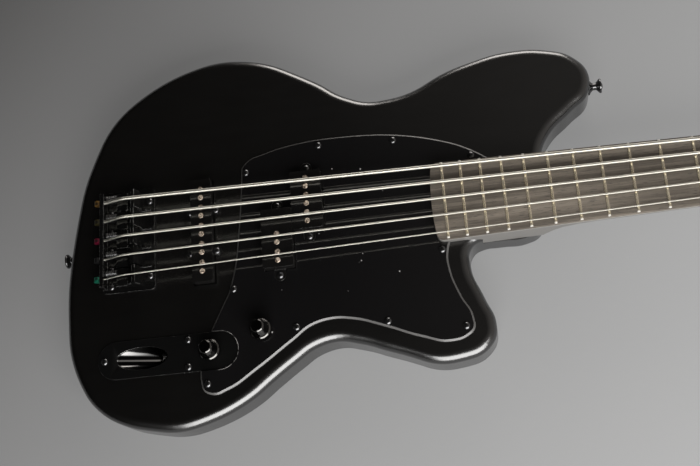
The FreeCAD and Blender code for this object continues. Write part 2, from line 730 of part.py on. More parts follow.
# Output jack: threaded bush and nut in the dish's end wall, contacts' housing behind it
JACK_BODY_RADIUS = 7.5
jack_blank = fuse("jack_blank", [
    cylinder("jack_bush", "bush_radius", "8", jack_seat - plug_way * 4, PLUG_TURN),
    prism("jack_nut", "bush_radius + 2.3", "2.2", jack_seat, PLUG_TURN),
    cylinder("jack_housing", f"{JACK_BODY_RADIUS}", "jack_depth", jack_seat - plug_way * (1.5 + size("jack_depth")),
             PLUG_TURN),
])
jack_bore = cylinder("jack_bore_cut", "jack_bore", "jack_depth + 10",
                     jack_seat - plug_way * (size("jack_depth") - 2), PLUG_TURN)
cut("output_jack", jack_blank, [jack_bore])

# Pickguard, with a bevelled rim, cut round the neck, the control plate and the split pickup
guard_blank = new_body("guard_blank")
guard_sketch = new_sketch(guard_blank, "guard_outline", offset=body_top)
guard_top_rim = [drawn(*p) for p in (
    (91.4, 56.5), (95.5, 61.5), (116.5, 69.5), (150, 75), (190, 75.3), (225, 72.3), (262, 63.8), (294, 50.8),
    (316, 35.5))]
guard_low_rim = [drawn(*p) for p in (
    (273, -35), (270, -46), (271, -62.3), (277, -82), (286, -102.5), (286, -113), (278, -119.6),
    (264, -122), (240, -115.3), (210, -103), (187, -94.8), (168, -92), (150, -95), (128, -109),
    (100, -128), (72.7, -144), (60, -147.4), (51.5, -143.7), (48.7, -135))]
guard_low_rim.append(Vector(drawn(48.6, 0).x, plate_y - plate_half + 0.7, 0))
guard_tail_rim = [drawn(*p) for p in ((75.8, -58.6), (81.6, -38), (86.5, -3), (89.5, 27), (91.4, 56.5))]
guard_notch = Vector(drawn(59.3, 0).x, plate_y + plate_half + 2.3, 0)
smooth(guard_sketch, guard_top_rim)
polyline(guard_sketch, [guard_top_rim[-1], drawn(265, -20), guard_low_rim[0]])
smooth(guard_sketch, guard_low_rim)
polyline(guard_sketch, [guard_low_rim[-1], Vector(drawn(58, 0).x, plate_y, 0), guard_notch, guard_tail_rim[0]])
smooth(guard_sketch, guard_tail_rim)
guard_pad = pad(guard_blank, guard_sketch, "guard_thickness")
guard_rim = edge_names(guard_pad, lambda edge: lies_at(edge, guard_top))
dress(guard_blank, guard_pad, "Chamfer", guard_rim, Size="guard_bevel")

EAR_RADIUS, EAR_LIFT, EAR_THICKNESS = 5.0, 0.3, 2.4


def split_cutter(name, place, gap, floor, height):
    """The plan of a split pickup's cover with its two screw ears, as a tall block."""
    half_x = size("split_length") / 2 + gap
    half_y = size("split_width") / 2 + gap
    pieces = [box(name + "_block", f"split_length + {2 * gap}", f"split_width + {2 * gap}", height,
                  Vector(place.x - half_x, place.y - half_y, floor))]
    pieces += ears(name, place, gap, floor, height)
    return pieces


def ears(name, place, gap, floor, height):
    pieces = []
    for n, side in enumerate((1, -1)):
        tip = Vector(place.x, place.y + side * size("split_screw_pitch") / 2, floor)
        pieces.append(cylinder(f"{name}_ear_{n}", f"{EAR_RADIUS + gap}", height, tip))
        inner = place.y + side * (size("split_width") / 2 - 1)
        pieces.append(box(f"{name}_neck_{n}", f"{2 * (EAR_RADIUS + gap)}",
                          f"split_screw_pitch / 2 - split_width / 2 + 1", height,
                          Vector(place.x - EAR_RADIUS - gap, min(inner, tip.y), floor)))
    return pieces


plate_gap = size("plate_gap")
guard_cuts = [neck_plan("guard_neck_cut", plate_gap, nut_front, body_top - 1, "guard_thickness + 2",
                        "board_corner + plate_gap"),
              stadium("guard_plate_cut", body_top - 1, "guard_thickness + 2", plate_gap)]
for n, place in enumerate(splits):
    guard_cuts += split_cutter(f"guard_split_{n}", place, plate_gap, body_top - 1, "guard_thickness + 2")
guard_cuts.append(cylinder("pot_hole_2", "bush_radius + hole_gap", "guard_thickness + 2",
                           Vector(knobs[1].x, knobs[1].y, body_top - 1)))
cut("pickguard", guard_blank, guard_cuts)


# Pickups: hollow covers, a winding inside, and a pair of magnets under each string
def pole_places(place, strings):
    return [Vector(place.x, string_y(n, place.x) + side * size("pole_half_gap"), 0)
            for n in strings for side in (1, -1)]


pickups = [("split_bass", splits[0], "split_length", "split_width", "split_top", range(0, 3)),
           ("split_treble", splits[1], "split_length", "split_width", "split_top", range(3, 5)),
           ("long", long_middle, "long_length", "long_width", "long_top", range(0, 5))]
wall = size("cover_wall")
COIL_HEIGHT = 12.0
SLOT_INSET = 1.6
covers = {}
coils = []
poles = []
for name, place, length, width, top, strings in pickups:
    floor = body_top - size("cover_depth")
    crown = size(top) - wall - size("seat_gap")
    shell = rounded_block(name + "_cover", size(length), size(width), f"{top} - body_thickness + cover_depth", "2",
                          floor, place)
    inner_low = Vector(place.x - size(length) / 2 + wall, place.y - size(width) / 2 + wall, floor)
    hollow = box(name + "_hollow", f"{length} - 2 * cover_wall", f"{width} - 2 * cover_wall",
                 f"{top} - body_thickness + cover_depth - cover_wall", inner_low)
    gap = size("seat_gap")
    coil_low = Vector(inner_low.x + gap, inner_low.y + gap, crown - COIL_HEIGHT)
    bobbin = box(name + "_bobbin", f"{length} - 2 * cover_wall - 2 * seat_gap",
                 f"{width} - 2 * cover_wall - 2 * seat_gap", f"{COIL_HEIGHT}", coil_low)
    slot_half = size("pole_radius") + size("hole_gap")
    slot_low = Vector(place.x - slot_half, coil_low.y + SLOT_INSET, coil_low.z)
    slot = box(name + "_slot", "2 * (pole_radius + hole_gap)",
               f"{width} - 2 * cover_wall - 2 * seat_gap - {2 * SLOT_INSET}", f"{COIL_HEIGHT}", slot_low)
    coils.append(cut(name + "_coil", bobbin, [slot]))
    cover_holes = []
    for n, spot in enumerate(pole_places(place, strings)):
        foot = Vector(spot.x, spot.y, crown - COIL_HEIGHT - 3)
        reach = f"{COIL_HEIGHT + 3} + seat_gap + cover_wall"
        poles.append(cylinder(f"{name}_pole_{n}", "pole_radius", f"{reach} + pole_stand", foot))
        cover_holes.append(cylinder(f"{name}_top_hole_{n}", "pole_radius + hole_gap", f"{reach} + 2", foot))
    covers[name] = (shell, hollow, cover_holes)

split_covers = []
for name, place in (("split_bass", splits[0]), ("split_treble", splits[1])):
    shell, hollow, holes = covers[name]
    eared = fuse(name + "_eared", [shell] + ears(name, place, 0, body_top + EAR_LIFT, f"{EAR_THICKNESS}"))
    split_covers.append(cut(name + "_finished", eared, [hollow] + holes))
group("neck_pickup_covers", split_covers)

shell, hollow, holes = covers["long"]
LONG_EAR_RADIUS = 4.2
long_ears = []
for n, (along, across) in enumerate(((-1, -1), (-1, 1), (1, -1), (1, 1))):
    tip = Vector(long_middle.x + along * size("long_screw_length") / 2, across * size("long_screw_width") / 2,
                 body_top + EAR_LIFT)
    long_ears.append(cylinder(f"long_ear_{n}", f"{LONG_EAR_RADIUS}", f"{EAR_THICKNESS}", tip))
cut("bridge_pickup_cover", fuse("long_eared", [shell] + long_ears), [hollow] + holes)
group("pickup_coils", coils)
group("pickup_poles", poles)

# Controls: two stacked potentiometers, each with a sleeve for the lower knob and a spindle for the upper one
BUSH_STAND, NUT_STAND = 5.0, 2.0
SLEEVE_DROP, SPINDLE_DROP = 8.0, 10.0
pots = []
knob_names = (("volume_knob", "balance_knob"), ("treble_knob", "bass_knob"))
for n, place in enumerate(knobs):
    foot = Vector(place.x, place.y, body_top - size("pot_depth"))
    stand = place.z - body_top
    can = fuse(f"pot_can_{n}", [
        cylinder(f"pot_body_{n}", "pot_radius", "pot_depth", foot),
        cylinder(f"pot_bush_{n}", "bush_radius", f"{stand + BUSH_STAND}", Vector(place.x, place.y, body_top)),
        prism(f"pot_nut_{n}", "bush_radius + 2.2", f"{NUT_STAND}", place),
    ])
    pots.append(cut(f"pot_{n}", can, [
        cylinder(f"pot_bore_{n}", "sleeve_radius + running_gap", "40",
                 place - Vector(0, 0, SPINDLE_DROP + 0.5))]))
    upper_name, lower_name = knob_names[n]
    lower_low = place + Vector(0, 0, 2.6)
    collar = cylinder(f"{lower_name}_skirt", "lower_knob_radius", "lower_knob_height - 1.2", lower_low)
    collar_top = lower_low + Vector(0, 0, size("lower_knob_height") - 1.2)
    bevel = cone(f"{lower_name}_bevel", "lower_knob_radius", "lower_knob_radius - 1.2", "1.2", collar_top)
    sleeve_low = place - Vector(0, 0, SLEEVE_DROP)
    sleeve = cylinder(f"{lower_name}_sleeve", "sleeve_radius",
                      f"{SLEEVE_DROP + 2.6} + lower_knob_height", sleeve_low)
    well = cylinder(f"{lower_name}_well", "bush_radius + 2.6", f"{BUSH_STAND - 2.6} + seat_gap", lower_low)
    skirt = cut(f"{lower_name}_ring", fuse(f"{lower_name}_cap", [collar, bevel]), [well])
    spindle_bore = cylinder(f"{lower_name}_bore", "spindle_radius + running_gap", "40",
                            sleeve_low - Vector(0, 0, 1))
    cut(lower_name, fuse(f"{lower_name}_blank", [skirt, sleeve]), [spindle_bore])
    upper_low = lower_low + Vector(0, 0, size("lower_knob_height") + 0.4)
    spindle_low = place - Vector(0, 0, SPINDLE_DROP)
    fuse(upper_name, [
        cone(f"{upper_name}_dome", "upper_knob_radius", "upper_knob_radius - 1.6", "upper_knob_height - 1.2",
             upper_low),
        cone(f"{upper_name}_rim", "upper_knob_radius - 1.6", "upper_knob_radius - 2.8", "1.2",
             upper_low + Vector(0, 0, size("upper_knob_height") - 1.2)),
        cylinder(f"{upper_name}_spindle", "spindle_radius",
                 f"{SPINDLE_DROP + 2.6 + 0.4} + lower_knob_height + 2", spindle_low),
    ])
group("pots", pots)

# Preamplifier board on the floor of the cavity
chip = box("preamp_chip", "10", "7", "3", preamp_low + Vector(10, 7, PREAMP_THICKNESS))
board_sheet = box("preamp_sheet", f"{PREAMP_LENGTH}", f"{PREAMP_WIDTH}", f"{PREAMP_THICKNESS}", preamp_low)
fuse("preamp_board", [board_sheet, chip])

# Battery box let into the back, with a hinged lid
BOX_INSET = 0.3
box_shell = box("box_shell", box_length, box_width, f"{box_depth} - {BOX_INSET}", box_low + Vector(0, 0, BOX_INSET))
box_inner_low = box_low + Vector(box_wall, box_wall, 0)
box_hollow = box("box_hollow", f"battery_length + {BATTERY_ROOM}", f"battery_width + {BATTERY_ROOM}",
                 f"battery_depth + {BATTERY_LIFT}", box_inner_low)
hinge_x = box_inner_low.x + 1.8
hinge_z = BOX_INSET + size("lid_thickness") / 2 + 0.2
PIN_REACH = 1.2
hinge_low = Vector(hinge_x, box_inner_low.y - PIN_REACH, hinge_z)
inner_width = f"battery_width + {BATTERY_ROOM}"
pin_holes = cylinder("pin_holes", "hinge_pin_radius + running_gap", f"{inner_width} + {2 * PIN_REACH + 0.4}",
                     hinge_low - Vector(0, 0.2, 0), ALONG_Y)
cut("battery_box", box_shell, [box_hollow, pin_holes])
rounded_block("battery", size("battery_length"), size("battery_width"), "battery_depth", "2", BATTERY_LIFT,
              Vector(BATTERY_X, BATTERY_Y, 0))
fuse("battery_lid", [
    box("lid_panel", f"battery_length + {BATTERY_ROOM} - 2.3", f"{inner_width} - 2 * seat_gap", "lid_thickness",
        Vector(hinge_x, box_inner_low.y + size("seat_gap"), hinge_z - size("lid_thickness") / 2)),
    cylinder("lid_knuckle", "lid_thickness / 2", f"{inner_width} - 2 * seat_gap",
             Vector(hinge_x, box_inner_low.y + size("seat_gap"), hinge_z), ALONG_Y),
    cylinder("lid_pin", "hinge_pin_radius", f"{inner_width} + {2 * PIN_REACH}", hinge_low, ALONG_Y),
])

# Bridge: a plate with a tail wall, ribs between the saddles, and a saddle, screw and spring for each string
bridge_tail = -size("bridge_tail")
wall_front = bridge_tail + size("wall_thickness")
bridge_middle = Vector(bridge_tail + size("bridge_length") / 2, 0, 0)
bridge_base = rounded_block("bridge_base", size("bridge_length"), size("bridge_width"), "bridge_thickness", "4",
                            body_top, bridge_middle)
tail_wall = box("tail_wall", "wall_thickness", "bridge_width - 8", "wall_height",
                Vector(bridge_tail, 4 - size("bridge_width") / 2, body_top))
ribs = [box(f"rib_{n}", "saddle_length + saddle_front + 6", "rib_width", "rib_height",
            Vector(-size("saddle_front") - size("saddle_length"),
                   (n - 1.5) * size("saddle_pitch") - size("rib_width") / 2, bridge_floor))
        for n in range(STRINGS - 1)]
tail_z = body_top + size("tail_hole_height")
screw_z = body_top + size("intonation_height")
bridge_holes = []
for n in range(STRINGS):
    y = string_y(n, 0)
    bridge_holes.append(cylinder(f"string_hole_{n}", f"gauge_{n + 1} / 2 + seat_gap", "wall_thickness + 4",
                                 Vector(bridge_tail - 2, string_y(n, wall_front), tail_z), ALONG_X))
    bridge_holes.append(cylinder(f"intonation_hole_{n}", "intonation_radius + running_gap", "wall_thickness + 2",
                                 Vector(bridge_tail - 1, y + size("intonation_offset"), screw_z), ALONG_X))
cut("bridge_plate", fuse("bridge_blank", [bridge_base, tail_wall] + ribs), bridge_holes)

saddle_width = "saddle_pitch - rib_width - 2 * seat_gap"
saddle_low = bridge_floor + size("seat_gap")
saddle_rear = -size("saddle_front") - size("saddle_length")
CREST_FRONT, CREST_BACK = 3.2, 6.0
SADDLE_TRAVEL = 4.0
SCREW_HEAD_RADIUS, SCREW_HEAD_HEIGHT = 2.4, 2.2
for n in range(STRINGS):
    y = string_y(n, 0)
    crest = string_z(n, 0)
    block_top = bridge_floor + size("saddle_block")
    front = -size("saddle_front")
    blank = new_body(f"saddle_blank_{n + 1}")
    profile = new_sketch(blank, f"saddle_profile_{n + 1}", "XZ_Plane", -y)
    polyline(profile, [
        Vector(saddle_rear, saddle_low, 0), Vector(front, saddle_low, 0), Vector(front, block_top, 0),
        Vector(front - CREST_FRONT, crest, 0), Vector(front - CREST_BACK, crest, 0),
        Vector(front - 2 * CREST_BACK, block_top, 0), Vector(saddle_rear, block_top, 0),
        Vector(saddle_rear, saddle_low, 0)])
    pad(blank, profile, saddle_width, midplane=True)
    screw_y = y + size("intonation_offset")
    groove = cylinder(f"saddle_groove_{n + 1}", f"gauge_{n + 1} / 2 + seat_gap", "saddle_length",
                      Vector(saddle_rear, y, crest), ALONG_X)
    thread = cylinder(f"saddle_thread_{n + 1}", "intonation_radius + running_gap", "saddle_length - 4",
                      Vector(saddle_rear - 1, screw_y, screw_z), ALONG_X)
    cut(f"saddle_{n + 1}", blank, [groove, thread])
    tip = saddle_rear + size("saddle_length") / 2 - 1
    fuse(f"intonation_screw_{n + 1}", [
        cylinder(f"intonation_head_{n + 1}", f"{SCREW_HEAD_RADIUS}", f"{SCREW_HEAD_HEIGHT}",
                 Vector(bridge_tail - SCREW_HEAD_HEIGHT - size("running_gap"), screw_y, screw_z), ALONG_X),
        cylinder(f"intonation_shank_{n + 1}", "intonation_radius", f"{tip - bridge_tail + 1}",
                 Vector(bridge_tail - 1, screw_y, screw_z), ALONG_X),
    ])


# Wound wire: a tube along arcs that meet smoothly
def tube(curves, radius, sides=0):
    """A tube along smoothly joined curves; sides gives a faceted wire, none a round one."""
    path = Part.Wire([curve.toShape() for curve in curves])
    start = path.OrderedVertexes[0].Point
    first = path.OrderedEdges[0]
    heading = first.tangentAt(first.FirstParameter)
    if sides:
        across = heading.cross(Vector(0, 0, 1))
        across.normalize()
        rim = [start + Rotation(heading, 360 * k / sides).multVec(across) * radius for k in range(sides + 1)]
        profile = Part.makePolygon(rim)
    else:
        profile = Part.Wire(Part.makeCircle(radius, start, heading))
    pipe = Part.BRepOffsetAPI.MakePipeShell(path)
    pipe.add(profile)
    pipe.build()
    pipe.makeSolid()
    return pipe.shape()


def winding(centre, axis, out, along, radius, pitch, half_turns):
    """Points and headings of a winding at each half turn, from the side named out, setting off along."""
    stops = []
    for k in range(half_turns + 1):
        sign = (-1) ** k
        heading = along * (sign * radius) + axis * (pitch / (2 * math.pi))
        stops.append((centre + out * (sign * radius) + axis * (pitch * k / 2), heading.normalize()))
    return stops


def wound(stops):
    curves = []
    for (start, heading), (end, final) in zip(stops, stops[1:]):
        curves += biarc(start, heading, end, final)
    return curves


def least_gap(curves, wire):
    """The least gap between points of a wound tube that are more than half a turn apart along it."""
    points = [curve.toShape().valueAt(value) for curve in curves for value in
              [curve.FirstParameter + (curve.LastParameter - curve.FirstParameter) * k / 8 for k in range(8)]]
    return min(a.distanceToPoint(b) for n, a in enumerate(points) for b in points[n + 12:]) - 2 * wire


SPRING_TURNS = 4
spring_wire = size("spring_wire") / 2
spring_room = saddle_rear - wall_front - 2 * size("seat_gap") - 2 * spring_wire
for n in range(STRINGS):
    centre = Vector(wall_front + size("seat_gap") + spring_wire, string_y(n, 0) + size("intonation_offset"), screw_z)
    coil = wound(winding(centre, Vector(1, 0, 0), Vector(0, 1, 0), Vector(0, 0, 1), size("spring_radius"),
                         spring_room / SPRING_TURNS, 2 * SPRING_TURNS))
    solid(f"spring_{n + 1}", tube(coil, spring_wire, 4))
    print(f"spring {n + 1}: least gap to itself {least_gap(coil, spring_wire):.2f} mm")


# Strings: from the ball end through the tail wall, over saddle and nut, and wound up the post
def rounded_path(points, radius):
    """Straight runs joined by tangent arcs, and the heading at the end."""
    curves = []
    start = points[0]
    for before, corner, after in zip(points, points[1:], points[2:]):
        inward = (corner - before).normalize()
        outward = (after - corner).normalize()
        reach = radius * math.tan(inward.getAngle(outward) / 2)
        enter = corner - inward * reach
        leave = corner + outward * reach
        curves.append(Part.LineSegment(start, enter))
        curves.append(arc_between(enter, leave, inward))
        start = leave
    curves.append(Part.LineSegment(start, points[-1]))
    return curves, (points[-1] - points[-2]).normalize()


WALL_RUN = 4.5
BEND_X = saddle_rear + 7.5
NUT_RUN = 2.5
HALF_TURNS = 3
WINDING_LIFT = 4.4
STRING_SIDES = 8
strings = []
for n, (post, side) in enumerate(tuners):
    wire = gauges[n]
    turn_radius = size("post_radius") + size("seat_gap") + wire
    bend_x = nut_back + NUT_RUN
    nut_point = Vector(bend_x, string_y(n, bend_x), string_z(n, bend_x))
    to_post = Vector(post.x - nut_point.x, post.y - nut_point.y, 0)
    aim = math.atan2(to_post.y, to_post.x) - side * math.asin(turn_radius / to_post.Length)
    out = Vector(side * math.sin(aim), -side * math.cos(aim), 0)
    along = Vector(math.cos(aim), math.sin(aim), 0)
    foot = Vector(post.x, post.y, head_top + WINDING_LIFT + wire)
    stops = winding(foot, Vector(0, 0, 1), out, along, turn_radius, 2 * wire + size("winding_gap"), HALF_TURNS)
    route = [Vector(bridge_tail + hole_gap, string_y(n, wall_front), tail_z),
             Vector(wall_front + WALL_RUN, string_y(n, wall_front), tail_z),
             Vector(BEND_X, string_y(n, BEND_X), string_z(n, BEND_X)), nut_point, stops[0][0]]
    run, heading = rounded_path(route, size("bend_radius"))
    stops[0] = (stops[0][0], heading)
    turns = wound(stops)
    strings.append(tube(run + turns, wire, STRING_SIDES))
    print(f"string {n + 1}: least gap to itself {least_gap(turns, wire):.2f} mm")
solid("strings", Part.makeCompound(strings))

balls = [cylinder(f"ball_{n}", "ball_radius", "ball_width",
                  Vector(bridge_tail - size("ball_radius"), string_y(n, wall_front) - size("ball_width") / 2, tail_z),
                  ALONG_Y) for n in range(STRINGS)]
group("ball_ends", balls)

# Tuners: a closed housing under the headstock, a bushing with its nut on top, a slotted post and a key each
KEY_AXIS = 8.5
POST_DEPTH = 9.0
HOUSING_OUT = 12.0
COLLAR_START, COLLAR_END = 12.3, 15.0
BUTTON_START = 19.0
housings = []
bushings = []
for n, (post, side) in enumerate(tuners):
    label = n + 1
    key_z = head_floor - size("housing_depth") / 2
    out_turn = ALONG_Y if side > 0 else Rotation(Vector(1, 0, 0), 90)

    def out_from(distance):
        return Vector(post.x - KEY_AXIS, post.y + side * distance, key_z)

    near = post.y + side * HOUSING_OUT
    far = near - side * size("housing_width")
    casing = box(f"casing_{label}", "housing_length", "housing_width", "housing_depth",
                 Vector(post.x - size("housing_length") / 2 - 2, min(near, far), head_floor - size("housing_depth")))
    post_bore = cylinder(f"post_bore_{label}", "post_radius + running_gap", f"{POST_DEPTH} + 1",
                         Vector(post.x, post.y, head_floor - POST_DEPTH - size("running_gap")))
    key_bore = cylinder(f"key_bore_{label}", "key_shaft_radius + running_gap", f"{HOUSING_OUT + 6}", out_from(-5),
                        out_turn)
    housings.append(cut(f"housing_{label}", casing, [post_bore, key_bore]))
    sleeve_radius = f"post_radius + running_gap + {BUSHING_WALL}"
    stem = cylinder(f"bushing_stem_{label}", sleeve_radius, "head_thickness", Vector(post.x, post.y, head_floor))
    washer = cylinder(f"bushing_washer_{label}", f"{sleeve_radius} + 2.6", "1", Vector(post.x, post.y, head_top))
    hexagon = prism(f"bushing_nut_{label}", f"{sleeve_radius} + 2", "2.4", Vector(post.x, post.y, head_top + 1))
    bushing_bore = cylinder(f"bushing_bore_{label}", "post_radius + running_gap", "head_thickness + 8",
                            Vector(post.x, post.y, head_floor - 1))
    bushings.append(cut(f"bushing_{label}", fuse(f"bushing_blank_{label}", [stem, washer, hexagon]), [bushing_bore]))
    post_low = Vector(post.x, post.y, head_floor - POST_DEPTH)
    stem_height = f"{POST_DEPTH} + head_thickness + post_height"
    post_top = Vector(post.x, post.y, head_top + size("post_height"))
    shaft = cylinder(f"post_shaft_{label}", "post_radius", stem_height, post_low)
    flange = cone(f"post_flange_{label}", "post_radius", "post_radius + 1.4", "1.6", post_top)
    slot = box(f"post_slot_{label}", "post_radius * 4", "2.4", "6",
               Vector(post.x - 2 * size("post_radius"), post.y - 1.2, post_top.z - 3))
    cut(f"tuner_post_{label}", fuse(f"post_blank_{label}", [shaft, flange]), [slot])
    button = new_body(f"button_{label}")
    outline = new_sketch(button, f"button_outline_{label}", offset=key_z)
    inner = out_from(BUTTON_START)
    outer = out_from(BUTTON_START + size("key_length"))
    narrow, wide = size("key_width") * 0.26, size("key_width") / 2
    lobe = out_from(BUTTON_START + size("key_length") * 0.55)
    lobes = [Vector(inner.x - narrow, inner.y, 0), Vector(lobe.x - wide, lobe.y, 0), Vector(outer.x, outer.y, 0),
             Vector(lobe.x + wide, lobe.y, 0), Vector(inner.x + narrow, inner.y, 0)]
    smooth(outline, lobes)
    polyline(outline, [lobes[-1], lobes[0]])
    paddle = pad(button, outline, "key_thickness", midplane=True)
    rims = edge_names(paddle, lambda edge: edge.BoundBox.ZLength < 1e-6)
    dress(button, paddle, "Chamfer", rims, Size="key_thickness * 0.28")
    fuse(f"tuner_key_{label}", [
        button,
        cylinder(f"key_shaft_{label}", "key_shaft_radius", f"{BUTTON_START + 3 + 4}", out_from(-4), out_turn),
        cylinder(f"key_collar_{label}", "key_shaft_radius + 1.6", f"{COLLAR_END - COLLAR_START}",
                 out_from(COLLAR_START), out_turn),
    ])
group("tuner_housings", housings)
group("tuner_bushings", bushings)

# Strap buttons on felt washers
buttons = []
felts = []
for n, (seat, turn) in enumerate(button_seats):
    way = turn.multVec(Vector(0, 0, 1))
    felts.append(cylinder(f"felt_{n}", "button_radius + 0.5", "felt_thickness", seat, turn))
    base = seat + way * size("felt_thickness")
    waist = base + way * 3
    crown = base + way * (size("button_length") - 4.5)
    buttons.append(fuse(f"strap_button_{n}", [
        cone(f"button_foot_{n}", "button_radius", "button_radius * 0.5", "3", base, turn),
        cylinder(f"button_waist_{n}", "button_radius * 0.5", "button_length - 7.5", waist, turn),
        cone(f"button_flare_{n}", "button_radius * 0.5", "button_radius", "3", crown, turn),
        cylinder(f"button_cap_{n}", "button_radius", "1.5", crown + way * 3, turn),
    ]))
group("strap_buttons", buttons)
group("strap_felts", felts)

NODES = [
    "body", "neck", "fingerboard", "frets", "nut", "truss_rod", "neck_ferrules", "neck_screws", "pickguard",
    "control_plate", "output_jack", "pots", "preamp_board", "battery", "battery_box",
    "battery_lid", "neck_pickup_covers", "bridge_pickup_cover", "pickup_poles", "pickup_coils",
    "bridge_plate", "ball_ends", "strap_buttons", "strap_felts",
    "tuner_housings", "tuner_bushings", "strings", "volume_knob", "balance_knob", "treble_knob", "bass_knob"]
for piece in ("saddle", "intonation_screw", "spring", "tuner_key", "tuner_post"):
    NODES += [f"{piece}_{n}" for n in range(1, STRINGS + 1)]

doc.recompute()
for item in doc.Objects:
    if "Invalid" in item.State or "Error" in item.State:
        raise RuntimeError(f"{item.Name} failed: {item.State}")
os.makedirs("parts", exist_ok=True)
for node in NODES:
    item = doc.getObject(node)
    item.Label = node
    if item.Shape.isNull() or not item.Shape.isValid():
        raise RuntimeError(f"{node} has no valid shape")
    item.Shape.exportStep(f"parts/{node}.step")
print(f"{len(NODES)} pieces written")
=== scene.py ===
import math

import bmesh
import bpy
from mathutils import Matrix, Vector


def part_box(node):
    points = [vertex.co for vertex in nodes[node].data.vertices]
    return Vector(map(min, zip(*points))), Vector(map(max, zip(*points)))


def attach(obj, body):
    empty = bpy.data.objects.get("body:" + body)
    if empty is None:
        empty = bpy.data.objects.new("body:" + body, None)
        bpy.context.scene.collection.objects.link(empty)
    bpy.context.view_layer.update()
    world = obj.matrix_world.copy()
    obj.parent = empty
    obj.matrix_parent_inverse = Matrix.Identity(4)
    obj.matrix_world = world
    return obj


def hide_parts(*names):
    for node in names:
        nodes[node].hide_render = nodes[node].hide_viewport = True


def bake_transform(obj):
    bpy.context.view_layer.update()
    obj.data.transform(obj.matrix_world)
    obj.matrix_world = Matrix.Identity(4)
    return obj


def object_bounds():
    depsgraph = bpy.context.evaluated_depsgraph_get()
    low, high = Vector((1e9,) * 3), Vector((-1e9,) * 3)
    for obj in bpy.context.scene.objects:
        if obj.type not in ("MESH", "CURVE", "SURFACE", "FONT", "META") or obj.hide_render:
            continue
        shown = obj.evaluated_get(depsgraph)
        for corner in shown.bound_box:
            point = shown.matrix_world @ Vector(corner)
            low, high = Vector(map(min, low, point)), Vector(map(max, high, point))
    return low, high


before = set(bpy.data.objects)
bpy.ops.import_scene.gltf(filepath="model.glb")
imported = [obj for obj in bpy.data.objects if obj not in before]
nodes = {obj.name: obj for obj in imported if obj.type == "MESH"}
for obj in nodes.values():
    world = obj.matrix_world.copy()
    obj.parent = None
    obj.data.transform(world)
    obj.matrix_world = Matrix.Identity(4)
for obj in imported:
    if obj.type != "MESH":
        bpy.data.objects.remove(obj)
solid_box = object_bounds()


# Body: a slab of light hardwood with cut-aways, pockets and round edges.
# It is sealed and sprayed satin black, which leaves a very fine even grain that turns light into a soft sheen.
class Wire:
    """One socket of a node tree; sums on it add Math nodes, and node() makes any other node."""

    def __init__(self, tree, socket=None):
        self.tree = tree
        self.socket = socket

    def node(self, kind, settings=None, inputs=None, out=0):
        made = self.tree.nodes.new(kind)
        for name, value in (settings or {}).items():
            if name == "stops":
                ramp = made.color_ramp
                while len(ramp.elements) < len(value):
                    ramp.elements.new(0.5)
                for element, (place, colour) in zip(ramp.elements, value):
                    element.position = place
                    element.color = colour
            elif name == "steps":
                made.color_ramp.interpolation = value
            else:
                setattr(made, name, value)
        for name, value in (inputs or {}).items():
            if isinstance(value, Wire):
                self.tree.links.new(value.socket, made.inputs[name])
            else:
                made.inputs[name].default_value = value
        return Wire(self.tree, made.outputs[out] if made.outputs else None)

    def sum(self, operation, first, second):
        return self.node("ShaderNodeMath", {"operation": operation}, {0: first, 1: second})

    def __add__(self, other):
        return self.sum("ADD", self, other)

    def __radd__(self, other):
        return self.sum("ADD", other, self)

    def __sub__(self, other):
        return self.sum("SUBTRACT", self, other)

    def __rsub__(self, other):
        return self.sum("SUBTRACT", other, self)

    def __mul__(self, other):
        return self.sum("MULTIPLY", self, other)

    def __rmul__(self, other):
        return self.sum("MULTIPLY", other, self)

    def __abs__(self):
        return self.node("ShaderNodeMath", {"operation": "ABSOLUTE"}, {0: self})

    def part(self, letter):
        """One of X, Y and Z of a place or direction."""
        return self.node("ShaderNodeSeparateXYZ", None, {0: self}, letter)

    def stored(self, name):
        """A value kept on the mesh under that name."""
        return self.node("ShaderNodeAttribute", {"attribute_name": name}, None, "Fac")

    def upward(self):
        """1 where the surface faces straight up, 0 where it is upright."""
        return self.node("ShaderNodeNewGeometry", None, None, "Normal").part("Z")

    def distance(self, place):
        return self.node("ShaderNodeVectorMath", {"operation": "DISTANCE"}, {0: self, 1: place}, "Value")

    def stretched(self, x, y, z):
        return self.node("ShaderNodeMapping", None, {"Vector": self, "Scale": (x, y, z)})

    def noise(self, scale, detail=3.0, rough=0.5):
        return self.node("ShaderNodeTexNoise", None,
                         {"Vector": self, "Scale": scale, "Detail": detail, "Roughness": rough})

    def step(self, low, high):
        """0 below low, 1 above high, with a smooth rise between."""
        return self.node("ShaderNodeMapRange", {"interpolation_type": "SMOOTHSTEP"}, {0: self, 1: low, 2: high})

    def mix(self, first, second):
        """The first colour where this is 0 and the second where it is 1."""
        return self.node("ShaderNodeMix", {"data_type": "RGBA"}, {0: self, 6: first, 7: second}, 2)

    def coat(self, relief=None, depth=0.0001, strength=1.0, **sockets):
        """One surface; relief, in units of depth, gives its bumps."""
        inputs = {name.replace("_", " "): value for name, value in sockets.items()}
        if relief is not None:
            inputs["Normal"] = self.node("ShaderNodeBump", None,
                                         {"Height": relief, "Distance": depth, "Strength": strength})
        return self.node("ShaderNodeBsdfPrincipled", None, inputs)

    def paint(self, **sockets):
        """Ends the tree in one surface."""
        surface = self.coat(**sockets)
        surface.node("ShaderNodeOutputMaterial", None, {0: surface})


def finish(name):
    """A new material, and the place on the object that its patterns are laid out by."""
    material = bpy.data.materials.new(name)
    material.use_nodes = True
    material.node_tree.nodes.clear()
    return material, Wire(material.node_tree).node("ShaderNodeTexCoord", None, None, "Object")


def apply_finish(material, *names):
    for name in names:
        nodes[name].data.materials.clear()
        nodes[name].data.materials.append(material)


